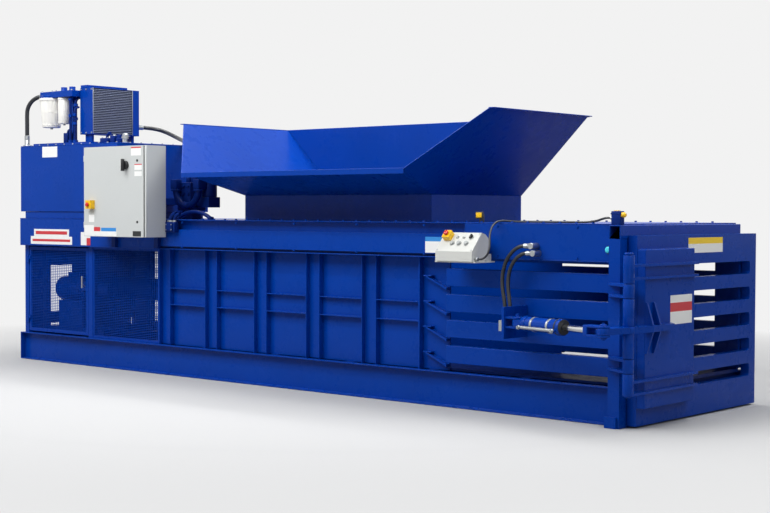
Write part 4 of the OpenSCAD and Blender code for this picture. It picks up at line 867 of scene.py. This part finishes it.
class SignSheets(Trim):
    """Bare sign sheets and colour fields where the machine carries its signs, all without words."""

    THICK = 1.6
    EDGE = 0.0006
    # Faces to the near side that carry sheets: the body and the face's Y.
    TANK = (Body.FRAME, 5.0)
    BEAM = (Body.FRAME, 2.0)
    BEAM_SHEET = (Body.FRAME, 2.0 - THICK)
    CABINET = (Body.CABINET_DOOR, -300.0)
    # Piece, colour, ends along the machine, lower and upper edge, and face.
    NEAR = (
        ("tank_sign_sheet", "white", (424, 701), (2293, 2412), TANK),
        ("beam_sign_upper", "white", (268, 913), (1407, 1488), BEAM),
        ("beam_sign_lower", "white", (205, 968), (1318, 1407), BEAM),
        ("beam_sign_side", "white", (1124, 1225), (1318, 1462), BEAM),
        ("beam_sign_side_base", "red", (1225, 1292), (1318, 1398), BEAM),
        ("beam_sign_side_top", "white", (1225, 1292), (1398, 1462), BEAM),
        ("bale_sign_sheet", "white", (6012, 6340), (1340, 1440), BEAM),
        ("bale_sign_band", "blue", (6012, 6340), (1440, 1480), BEAM),
        ("beam_sign_upper_band", "red", (300, 880), (1430, 1466), BEAM_SHEET),
        ("beam_sign_lower_band", "red", (240, 935), (1350, 1376), BEAM_SHEET),
        ("cabinet_sign_top", "white", (2354, 2512), (2262, 2338), CABINET),
        ("cabinet_sign_top_band", "red", (2354, 2512), (2338, 2352), CABINET),
        ("cabinet_sign_upper", "white", (2408, 2525), (2115, 2166), CABINET),
        ("cabinet_sign_upper_band", "red", (2408, 2525), (2166, 2176), CABINET),
        ("cabinet_sign_middle", "white", (2408, 2525), (2052, 2100), CABINET),
        ("cabinet_sign_small", "white", (1660, 1750), (1577, 1655), CABINET),
        ("cabinet_sign_strip", "white", (1582, 2119), (1432, 1482), CABINET),
        ("cabinet_sign_strip_top", "white", (1582, 1743), (1482, 1545), CABINET),
        ("cabinet_sign_red_field", "red", (1743, 1847), (1482, 1526), CABINET),
        ("cabinet_sign_blue_field", "blue", (1866, 2109), (1482, 1520), CABINET),
        ("cabinet_sign_black", "black", (2380, 2510), (1436, 1490), CABINET))
    # Piece, colour, ends across the machine, lower and upper edge, and node whose outer face it sits on.
    DOOR = (
        ("door_sign_sheet", "white", (800, 1385), (1366, 1441), "end_door"),
        ("door_sign_band", "yellow", (800, 1385), (1441, 1492), "end_door"),
        ("skin_sign_sheet", "white", (386, 732), (802, 904), "door_skin"),
        ("skin_sign_band", "red", (386, 732), (904, 976), "door_skin"),
        ("skin_sign_head", "white", (386, 732), (976, 1037), "door_skin"))

    def build(self) -> None:
        """Puts up every sheet."""
        for name, colour, (x0, x1), (z0, z1), (body, face) in self.NEAR:
            sheet = self.bench().slab((x0, face - self.THICK, z0), (x1, face, z1), self.EDGE, 1)
            sheet.done(name, f"{colour}_sheet", body)
        for name, colour, (y0, y1), (z0, z1), node in self.DOOR:
            low, high = spot(0.0, y0, z0), spot(0.0, y1, z1)
            low.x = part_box(node)[1].x
            high.x = low.x + self.THICK / MM
            self.bench().block(low, high, self.EDGE, 1).done(name, f"{colour}_sheet", Body.DOOR)


class OperatorConsole(Trim):
    """Collars, pilot lights, stop head and screws of the sloped control box."""

    FOOT = (6366.0, -295.0, 1369.0)
    FLANGE_TOP = 1285.0
    WIDTH = 390.0
    SLOPE = math.atan2(240.0 - 84.0, 134.0)
    # Places on the panel: millimetres across it and up the slope.
    CONTROLS = ((139.0, 85.0), (212.0, 85.0), (289.0, 85.0), (309.0, 155.0))
    STOP = (75.0, 150.0)
    PILOTS = ((165.0, 152.0), (232.0, 152.0))
    LENS = ((0.0112, 0.0), (0.0112, 0.006), (0.009, 0.0105), (0.005, 0.0125))

    def place(self, across: float, up: float) -> Vector:
        """Point on the sloped panel, from the distances across it and up the slope."""
        x, y, z = self.FOOT
        return spot(x + across, y + up * math.cos(self.SLOPE), z + up * math.sin(self.SLOPE))

    def build(self) -> None:
        """Makes the console's trim."""
        out = Vector((0.0, -math.sin(self.SLOPE), math.cos(self.SLOPE)))
        collars, lenses, screws = self.bench(), self.bench(), self.bench()
        for at in self.CONTROLS:
            collars.ring(0.0182, 0.0225, 0.007, self.place(*at), out)
        for at in self.PILOTS:
            collars.ring(0.0115, 0.0155, 0.006, self.place(*at), out, 24)
            lenses.turned(self.LENS, self.place(*at), out, 24)
        collars.done("console_collars", "grey_plastic")
        lenses.done("console_pilot_lenses", "grey_plastic")
        stop = self.bench().mushroom(0.022, self.place(*self.STOP) + out * 0.012, out)
        stop.done("console_stop_head", "red_plastic", Body.CONSOLE_STOP, ["console_estop"])
        for across in (14.0, self.WIDTH - 14.0):
            for up in (12.0, 194.0):
                screws.bolt(self.place(across, up), out, 0.011, 0.005)
        ends = (self.FOOT[0] - 10.0, self.FOOT[0] + self.WIDTH + 10.0)
        screws.bolts([(x, y, self.FLANGE_TOP) for x in ends for y in (-240.0, -120.0)], Axis.Z, 0.016, 0.008)
        screws.done("console_screws", "plated_steel")


class ElectricCabinet(Trim):
    """Door seal, whose black also stands in for the shade in the door gap, rim, handle, stop head and the
    conduit fittings beside the cabinet.
    """

    FACE = -300.0
    LOW = 1427.0
    HIGH = 2365.0
    DOOR_END = 2550.0
    END = 2590.0
    HANDLE = (2273.632, 2168.02)
    GRIP = ((0.0166, 0.0), (0.0166, 0.004), (0.0435, 0.004), (0.045, 0.0055), (0.045, 0.03), (0.042, 0.033))
    STOP = (1712.0, 1761.866)
    CONDUIT_Y = -28.0
    CONDUIT_TOP = 1585.0

    def build(self) -> None:
        """Makes the cabinet's trim."""
        face, low, high, edge = self.FACE, self.LOW, self.HIGH, self.DOOR_END
        # Black seal strip in the gap between the door edge and the side rim; its black also paints the shade
        # that falls in that gap.
        seal = self.bench().slab((edge + 1, face + 6, low + 6), (edge + 9, face + 22, high - 6), 0.002)
        seal.slab((edge + 9, face + 12, low + 10), (edge + 14, face + 22, high - 10), 0.001)
        seal.done("cabinet_door_seal_and_gap_shade", "black_plastic")
        rim = self.bench().slab((edge + 15, face + 2, low), (self.END, face + 22, high), 0.003)
        rim.done("cabinet_side_rim", "grey_paint")
        x, z = self.HANDLE
        plate = self.bench().slab((x - 92, face - 3, z - 46), (x - 52, face, z + 58), 0.001)
        plate.done("disconnect_handle_plate", "white_sheet", Body.CABINET_DOOR)
        grip = self.bench().turned(self.GRIP, spot(x, face + 3, z), Axis.MINUS_Y, 40)
        grip.slab((x - 14, face - 62, z - 62), (x + 14, face - 29, z + 62), 0.004)
        grip.done("disconnect_grip", "black_plastic", Body.DISCONNECT, ["disconnect_handle"])
        stop = self.bench().mushroom(0.023, spot(self.STOP[0], face - 15, self.STOP[1]), Axis.MINUS_Y)
        stop.done("cabinet_stop_head", "red_plastic", Body.CABINET_STOP, ["cabinet_estop"])
        self.conduit()

    def conduit(self) -> None:
        """Makes the conduit body and its fittings on the beam beside the cabinet."""
        y, top = self.CONDUIT_Y, self.CONDUIT_TOP
        body, nuts = self.bench(), self.bench()
        body.slab((2600, -58, 1478), (2745, 0, top), 0.006)
        body.slab((2622, -74, 1495), (2722, -58, 1568), 0.004)
        for x, reach, radius in ((2650, 85, 0.022), (2710, 80, 0.018)):
            body.bend(radius, spot(x, y, top), spot(x + reach, y, top), Axis.Y, 90.0)
            nuts.ring(radius, radius + 0.009, 0.018, spot(x, y, top), Axis.Z, 6)
        body.done("conduit_body", "dark_blue_paint")
        nuts.bolts([(x, -74, z) for x in (2632, 2712) for z in (1505, 1558)], Axis.MINUS_Y, 0.012, 0.006)
        nuts.done("conduit_nuts", "plated_steel")


class PowerUnit(Trim):
    """Fins, guards, valves, pipes and bolts of the oil tank, the cooler and the filters."""

    CORE_FACE = 1094.0
    CORE_Y = (196.0, 741.0)
    CORE_Z = (2556.0, 3050.0)
    FINS = 26
    GUARD = (869.0, 468.5, 2802.5)
    GUARD_RINGS = (0.05, 0.1, 0.15, 0.2, 0.236)
    TANK_TOP = 2430.0
    DRIP_TOP = 2454.0
    RELIEF = ((0.036, 0.0), (0.036, 0.05), (0.026, 0.058), (0.026, 0.088), (0.018, 0.094))
    BREATHER = ((0.034, 0.0), (0.034, 0.012), (0.02, 0.016), (0.02, 0.04), (0.033, 0.046), (0.033, 0.092),
                (0.024, 0.104), (0.01, 0.108))

    def build(self) -> None:
        """Makes the trim of the power unit."""
        self.cooler()
        self.guard()
        self.valves()
        self.filters()
        self.manifold()
        self.pipework()

    def cooler(self) -> None:
        """Makes the cooler's fins and edge strips."""
        (y0, y1), (low, high), face = self.CORE_Y, self.CORE_Z, self.CORE_FACE
        pitch = (high - low) / self.FINS
        fins, strips = self.bench(), self.bench()
        for i in range(self.FINS):
            z = low + (i + 0.3) * pitch
            fins.slab((face - 8, y0, z), (face + 4, y1, z + pitch * 0.4), 0.001, 1)
        fins.done("cooler_fins", "thin_fin")
        for y in (188.0, 742.0):
            strips.slab((1099, y, 2548), (1103, y + 7, 3057), 0.0012)
        strips.done("cooler_edge_strips", "plated_steel")

    def guard(self) -> None:
        """Makes the fan guard, of rings, spokes and feet, and the cooler's bolts."""
        place = spot(*self.GUARD)
        wires = self.bench()
        for radius in self.GUARD_RINGS:
            wires.ring(radius, radius + 0.004, 0.004, place, Axis.MINUS_X, 48)
        half = Vector((0.002, 0.24, 0.002))
        low, high = Vector((-0.002, -0.008, -0.008)), Vector((0.006, 0.008, 0.008))
        for step in range(4):
            spoke = Matrix.Translation(place) @ Matrix.Rotation(math.radians(45.0 * step), 4, "X")
            wires.take(self.bench().block(-half, half, 0.0008, 1).turn(spoke))
        for step in range(4):
            turn = math.radians(45.0 + 90.0 * step)
            foot = place + Vector((0.0, 0.238 * math.cos(turn), 0.238 * math.sin(turn)))
            wires.block(foot + low, foot + high, 0.001, 1)
        wires.done("fan_guard", "black_plastic")
        seats = [(x, 187, z) for x in (895.0, 985.0, 1080.0) for z in (2562.0, 3043.0)]
        self.bench().bolts(seats, Axis.MINUS_Y, 0.016, 0.008).done("cooler_bolts", "plated_steel")

    def valves(self) -> None:
        """Makes the valve bodies and the breather on the tank lid."""
        top = self.TANK_TOP
        bodies = self.bench().slab((1270, 150, top), (1400, 250, top + 62), 0.006)
        bodies.slab((1424, 165, top), (1500, 235, top + 84), 0.006)
        bodies.turned(self.RELIEF, spot(1545, 200, top), Axis.Z)
        bodies.bend(0.016, spot(1335, 200, top + 62), spot(1390, 200, top + 62), Axis.Y, 90.0)
        bodies.done("tank_valve_bodies", "dark_blue_paint")
        shiny = self.bench().turned(self.BREATHER, spot(1646, 200, top), Axis.Z)
        shiny.bolts([(x, y, top + 62) for y in (170, 230) for x in (1290, 1380)], Axis.Z, 0.016, 0.009)
        shiny.bolt(spot(1462, 200, top + 84), Axis.Z, 0.034, 0.018)
        shiny.done("tank_breather", "plated_steel")

    def filters(self) -> None:
        """Makes the bolts, ribs and drain plugs of the filters, and the bolts of the lid under them."""
        bolts, ribs = self.bench(), self.bench()
        head = [(x, y, 3035) for x in (310.0, 490.0, 560.0, 850.0) for y in (92.0, 208.0)]
        bolts.bolts(head, Axis.Z, 0.022, 0.012)
        bolts.bolt(spot(400, 150, 2635), Axis.MINUS_Z, 0.034, 0.018)
        bolts.bolt(spot(635, 150, 2670), Axis.MINUS_Z, 0.03, 0.016)
        bolts.done("filter_bolts", "plated_steel")
        ribs.ring(0.129, 0.138, 0.022, spot(400, 150, 2938), Axis.Z, 48)
        ribs.ring(0.066, 0.073, 0.018, spot(635, 150, 2940), Axis.Z, 40)
        for z, radius in ((2660.0, 0.1027), (2800.0, 0.1162)):
            ribs.ring(radius - 0.003, radius + 0.003, 0.008, spot(400, 150, z), Axis.Z, 48)
        ribs.done("filter_bowl_rims", "white_plastic")
        lid = [(40 + i * 152.0, y, self.TANK_TOP) for i in range(12) for y in (28.0, 1282.0)]
        lid += [(1728, y, self.TANK_TOP) for y in range(200, 1101, 150)]
        self.bench().bolts(lid, Axis.Z, 0.018, 0.01).done("tank_lid_bolts", "plated_steel")

    def manifold(self) -> None:
        """Makes the flanges, plugs and bent pipes of the valve manifold."""
        pipes, bolts = self.bench(), self.bench()
        pipes.bend(0.05, spot(2645, 510, 2052), spot(2645, 650, 2052), Axis.X, -90.0)
        pipes.turned([(0.094, 0.0), (0.094, 0.02), (0.082, 0.024)], spot(2645, 510, 2032), Axis.Z)
        pipes.turned([(0.066, 0.0), (0.066, 0.018), (0.054, 0.022)], spot(2645, 650, 2192), Axis.Y)
        pipes.bend(0.036, spot(2290, 360, 1930), spot(2467.5, 360, 1930), Axis.Y, -180.0, 24)
        pipes.slab((2245, 320, 1930), (2335, 402, 2030), 0.006)
        pipes.slab((2600, 320, 1930), (2690, 450, 2030), 0.006)
        for x in (2290, 2645):
            pipes.turned([(0.056, 0.0), (0.056, 0.016), (0.046, 0.02)], spot(x, 360, 1908), Axis.Z)
        pipes.bend(0.02, spot(2510, 200, 1622), spot(2760, 200, 1196.4), Axis.Y, 60.8, 20)
        for x in (2510, 3010):
            pipes.turned([(0.034, 0.0), (0.034, 0.02), (0.026, 0.03)], spot(x, 200, 1610), Axis.Z)
        pipes.done("manifold_pipe_bend", "dark_blue_paint")
        turns = [math.radians(60.0 * step) for step in range(6)]
        flange = [(2645 + 82 * math.cos(turn), 510 + 82 * math.sin(turn), 2052) for turn in turns]
        plugs = [(x, 400, z) for x in (2295.0, 2367.0, 2440.0) for z in (1760.0, 1880.0, 1960.0)]
        bolts.bolts(flange, Axis.Z, 0.018, 0.01).bolts(plugs, Axis.MINUS_Y, 0.03, 0.014)
        bolts.done("manifold_plugs", "dark_blue_paint")

    def pipework(self) -> None:
        """Makes the painted pipes that stand between the filters and the cooler."""
        foot = self.DRIP_TOP
        pipes, nuts = self.bench(), self.bench()
        for x, y, top, radius in ((790, 118, 2965, 0.014), (824, 165, 2900, 0.017), (853, 128, 2790, 0.012)):
            pipes.turned([(radius, 0.0), (radius, (top - foot) / MM)], spot(x, y, foot), Axis.Z, 20)
            for z in (foot, (foot + top) / 2 + 30, top - 40):
                nuts.ring(radius + 0.0004, radius + 0.009, 0.03, spot(x, y, z), Axis.Z, 6)
        pipes.bend(0.017, spot(824, 165, 2900), spot(824, 225, 2900), Axis.X, -90.0)
        pipes.bend(0.012, spot(853, 128, 2790), spot(853, 188, 2790), Axis.X, -90.0)
        pipes.slab((690, 95, foot), (760, 175, foot + 110), 0.006)
        pipes.bend(0.015, spot(725, 135, foot + 110), spot(757, 135, foot + 110), Axis.Y, 90.0)
        pipes.done("filter_pipework", "dark_blue_paint")
        nuts.done("filter_pipe_nuts", "blue_paint")


class DoorCylinder(Trim):
    """Chromed rod, fork, gland ring and pipe clips of the cylinder that swings the end door."""

    # Pivots and lever in millimetres on the machine, and degrees.
    PIVOT = (7160.0, -200.0, 795.0)
    HINGE = (8220.0, -220.0)
    LEVER = 280.0
    LEVER_ANGLE = -100.0
    SWING = 90.0
    FORK_REACH = 190.0
    # Rod, barrel and fork in metres.
    ROD = 0.028
    BARREL = 0.0575
    FORK_LONG = 0.05
    FORK_HALF = 0.048
    CHEEK_GAP = 0.027
    CHEEK = 0.016
    PIPE_DROP = -0.026

    def reach(self, angle: float) -> Vector:
        """Way from the barrel's pivot to the lever's pin when the lever stands at an angle in degrees."""
        turn = math.radians(angle)
        x, y = self.HINGE
        pin = Vector((x + self.LEVER * math.cos(turn), y + self.LEVER * math.sin(turn)))
        return pin - Vector(self.PIVOT[:2])

    def build(self) -> None:
        """Makes the cylinder's pieces along its own axis."""
        way = self.reach(self.LEVER_ANGLE)
        stroke = way.length - self.reach(self.LEVER_ANGLE - self.SWING).length
        axis = Matrix.Translation(spot(*self.PIVOT)) @ Matrix.Rotation(math.atan2(way.y, way.x), 4, "Z")
        fork = (way.length - self.FORK_REACH) / MM
        end = fork - stroke / MM - 0.01
        self.rod_pieces(axis, fork, way.length / MM, end)
        self.barrel_pieces(axis, end)

    def rod_pieces(self, axis: Matrix, fork: float, length: float, end: float) -> None:
        """Makes the rod and its fork.

        Args:
            axis: The cylinder's own axes, with X along it.
            fork: Where the fork starts along it.
            length: Where the fork's pin lies along it.
            end: Where the barrel ends along it.
        """
        shape = [(self.ROD * 0.9, end - 0.09), (self.ROD, end - 0.085), (self.ROD, fork)]
        shaft = self.bench().turned(shape, Vector(), Axis.X, 40)
        shaft.turn(axis).done("door_rod_shaft", "rod_chrome", Body.ROD, ["door_cylinder_rod"])
        half, gap, cheek = self.FORK_HALF, self.CHEEK_GAP, self.CHEEK
        jaw, heads = self.bench(), self.bench()
        back = Vector((fork + self.FORK_LONG, half, gap + cheek))
        jaw.block(Vector((fork, -half, -gap - cheek)), back, 0.006)
        rounded = [(half - 0.003, 0.0), (half, 0.003), (half, cheek - 0.003), (half - 0.003, cheek)]
        for low in (gap, -gap - cheek):
            jaw.block(Vector((fork + 0.045, -half, low)), Vector((length, half, low + cheek)), 0.003)
            jaw.turned(rounded, Vector((length, 0.0, low)), Axis.Z, 40)
        jaw.turn(axis).done("door_rod_fork", "blue_paint", Body.ROD, ["door_cylinder_rod"])
        for low, out in ((gap + cheek, Axis.Z), (-gap - cheek, Axis.MINUS_Z)):
            foot = Vector((length, 0.0, low))
            heads.turned([(0.028, 0.0), (0.028, 0.008), (0.022, 0.014)], foot, out)
            heads.bolt(foot + out * 0.014, out, 0.024, 0.01)
        heads.turn(axis).done("door_rod_pin_heads", "blue_paint", Body.ROD)

    def barrel_pieces(self, axis: Matrix, end: float) -> None:
        """Makes the gland ring, the pipe and the pipe clips of the barrel.

        Args:
            axis: The cylinder's own axes, with X along it.
            end: Where the barrel ends along it.
        """
        skin, drop = self.BARREL, self.PIPE_DROP
        gland, pipe = self.bench(), self.bench()
        gland.ring(self.ROD + 0.0015, skin + 0.004, 0.005, Vector((end, 0.0, 0.0)), Axis.X, 40)
        gland.ring(skin + 0.008, skin + 0.0105, 0.012, Vector((end - 0.05, 0.0, 0.0)), Axis.X, 40)
        gland.turn(axis).done("door_cylinder_gland_ring", "black_plastic", Body.BARREL)
        pipe.turned([(0.014, 0.14), (0.014, end - 0.05)], Vector((0.0, -skin - 0.022, drop)), Axis.X, 20)
        for at in (0.22, end - 0.16):
            pipe.ring(skin + 0.0006, skin + 0.004, 0.024, Vector((at, 0.0, 0.0)), Axis.X, 40)
        for at in (0.13, end - 0.035):
            pipe.bolt(Vector((at, -skin - 0.036, drop)), Axis.MINUS_Y, 0.03, 0.016)
        pipe.turn(axis).done("door_cylinder_pipe", "plated_steel", Body.BARREL)


class DoorHardware(Trim):
    """Hinge pin, bracket bolts and weld seams round the end door."""

    PIN = (8220.0, -220.0)
    SHAFT = 0.0246
    SEAM_FACE = 8160.0

    def build(self) -> None:
        """Makes the hardware on the frame and on the door."""
        low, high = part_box("hinge_pin")
        cap, shaft = (high.x - low.x) / 2, self.SHAFT
        shape = [(shaft - 0.003, low.z), (shaft, low.z + 0.003), (shaft, high.z - 0.014),
                 (cap, high.z - 0.014), (cap, high.z - 0.004), (cap - 0.004, high.z)]
        pin = self.bench().turned(shape, spot(*self.PIN, 0.0), Axis.Z, 48)
        pin.done("hinge_pin_turned", "blue_paint", replaces=["hinge_pin"])
        fixed = self.bench()
        bracket = [(7040, y, z) for z in (690.0, 890.0) for y in (-235.0, 40.0)]
        fixed.bolts(bracket, Axis.MINUS_X, 0.03, 0.016)
        fixed.bolt(spot(7160, -200, 855), Axis.Z, 0.034, 0.014)
        fixed.done("hinge_and_bracket_bolts", "blue_paint")
        face = self.SEAM_FACE
        seams = self.bench().slab((face, 771, 164), (face + 7, 780, 1406), 0.0025)
        for z in (160.0, 1410.0):
            seams.slab((face, 8, z - 5), (face + 7, 776, z + 5), 0.0025)
        seams.done("door_skin_weld", "blue_paint", Body.DOOR)


class Sensors(Trim):
    """Door switch on the header, photo sensor by the console and the status lamp."""

    SWITCH = (7965.0, 1600.0)
    PHOTO = (6590.0, 1610.0)
    LAMP = (7905, 2, 1402)

    def build(self) -> None:
        """Makes the sensors in place of their plain solids."""
        node = ["door_sensors"]
        x, z = self.SWITCH
        box, tip = self.bench(), self.bench()
        box.slab((x + 5, -85, z), (x + 90, -20, z + 110), 0.006)
        box.slab((x + 2, -88, z + 84), (x + 93, -17, z + 96), 0.003)
        box.done("door_switch_box", "dark_blue_paint", replaces=node)
        tip.turned([(0.02, 0.0), (0.02, 0.026), (0.014, 0.034)], spot(x + 90, -57.5, z + 80), Axis.X)
        tip.slab((x + 20, -70, z + 110), (x + 62, -34, z + 116), 0.002)
        tip.done("door_switch_tip", "yellow_plastic", replaces=node)
        x, z = self.PHOTO
        case = self.bench().slab((x, 20, z), (x + 20, 70, z + 70), 0.002)
        case.slab((x - 30, 5, z + 32), (x + 50, 20, z + 92), 0.004)
        case.done("photo_sensor_case", "black_plastic", replaces=node)
        lens = self.bench().slab((x - 20, 0, z + 42), (x + 40, 6, z + 84), 0.003)
        lens.done("photo_sensor_lens", "yellow_plastic", replaces=node)
        dome = [(0.027, 0.008), (0.027, 0.026), (0.02, 0.036), (0.008, 0.04)]
        lamp = self.bench().turned(dome, spot(*self.LAMP), Axis.MINUS_Y)
        lamp.done("status_lamp_lens", "cyan_lens", replaces=node)
        bezel = self.bench().ring(0.0275, 0.034, 0.014, spot(*self.LAMP), Axis.MINUS_Y)
        bezel.done("status_lamp_bezel", "black_plastic")


class FrameBolts(Trim):
    """Bolts of the upper beams, their covers and the rear end."""

    def build(self) -> None:
        """Makes the bolts, with the same spacing on both sides."""
        bolts = self.bench()
        for x in range(2800, 7900, 800):
            for z in (1330.0, 1580.0):
                bolts.bolt(spot(x, 2, z), Axis.MINUS_Y, 0.02, 0.01)
                bolts.bolt(spot(x, 1998, z), Axis.Y, 0.02, 0.01)
        covers = [(x, y, 1610) for x in range(3100, 7900, 160) for y in (18.0, 1982.0)]
        bolts.bolts(covers, Axis.Z, 0.022, 0.012)
        rear = [(0, y, z) for z in (470.0, 500.0, 1078.0, 1112.0) for y in (395.0, 1605.0)]
        bolts.bolts(rear, Axis.MINUS_X, 0.02, 0.01).done("frame_bolts", "blue_paint")


class PumpMotor(Trim):
    """Cooling fins and fan cowl of the electric motor behind the cage."""

    REAR = (200.0, 480.0, 800.0)
    LONG = 0.52
    RADIUS = 0.135
    FINS = 36

    def build(self) -> None:
        """Makes the motor's fins and cowl."""
        bench, middle, radius = self.bench(), spot(*self.REAR), self.RADIUS
        low, high = Vector((0.08, -0.002, radius - 0.004)), Vector((self.LONG - 0.06, 0.002, radius + 0.005))
        for i in range(self.FINS):
            turn = Matrix.Translation(middle) @ Matrix.Rotation(math.tau * i / self.FINS, 4, "X")
            bench.take(self.bench().block(low, high, 0.001, 1).turn(turn))
        bench.ring(radius + 0.0004, radius + 0.004, 0.07, middle, Axis.X, 48)
        bench.ring(0.03, radius, 0.004, middle + Vector((-0.004, 0.0, 0.0)), Axis.X, 48)
        bench.done("motor_fins", "blue_paint")


def main() -> None:
    """Builds the studio, the finishes and every dressed piece in order."""
    logging.basicConfig(level=logging.INFO, format="%(message)s")
    Studio().build()
    finishes = Finishes()
    for trim in (Cords, Solids, MachineryCage, SignSheets, OperatorConsole, ElectricCabinet, PowerUnit,
                 DoorCylinder, DoorHardware, Sensors, FrameBolts, PumpMotor):
        trim(finishes).build()


if __name__ == "__main__":
    main()
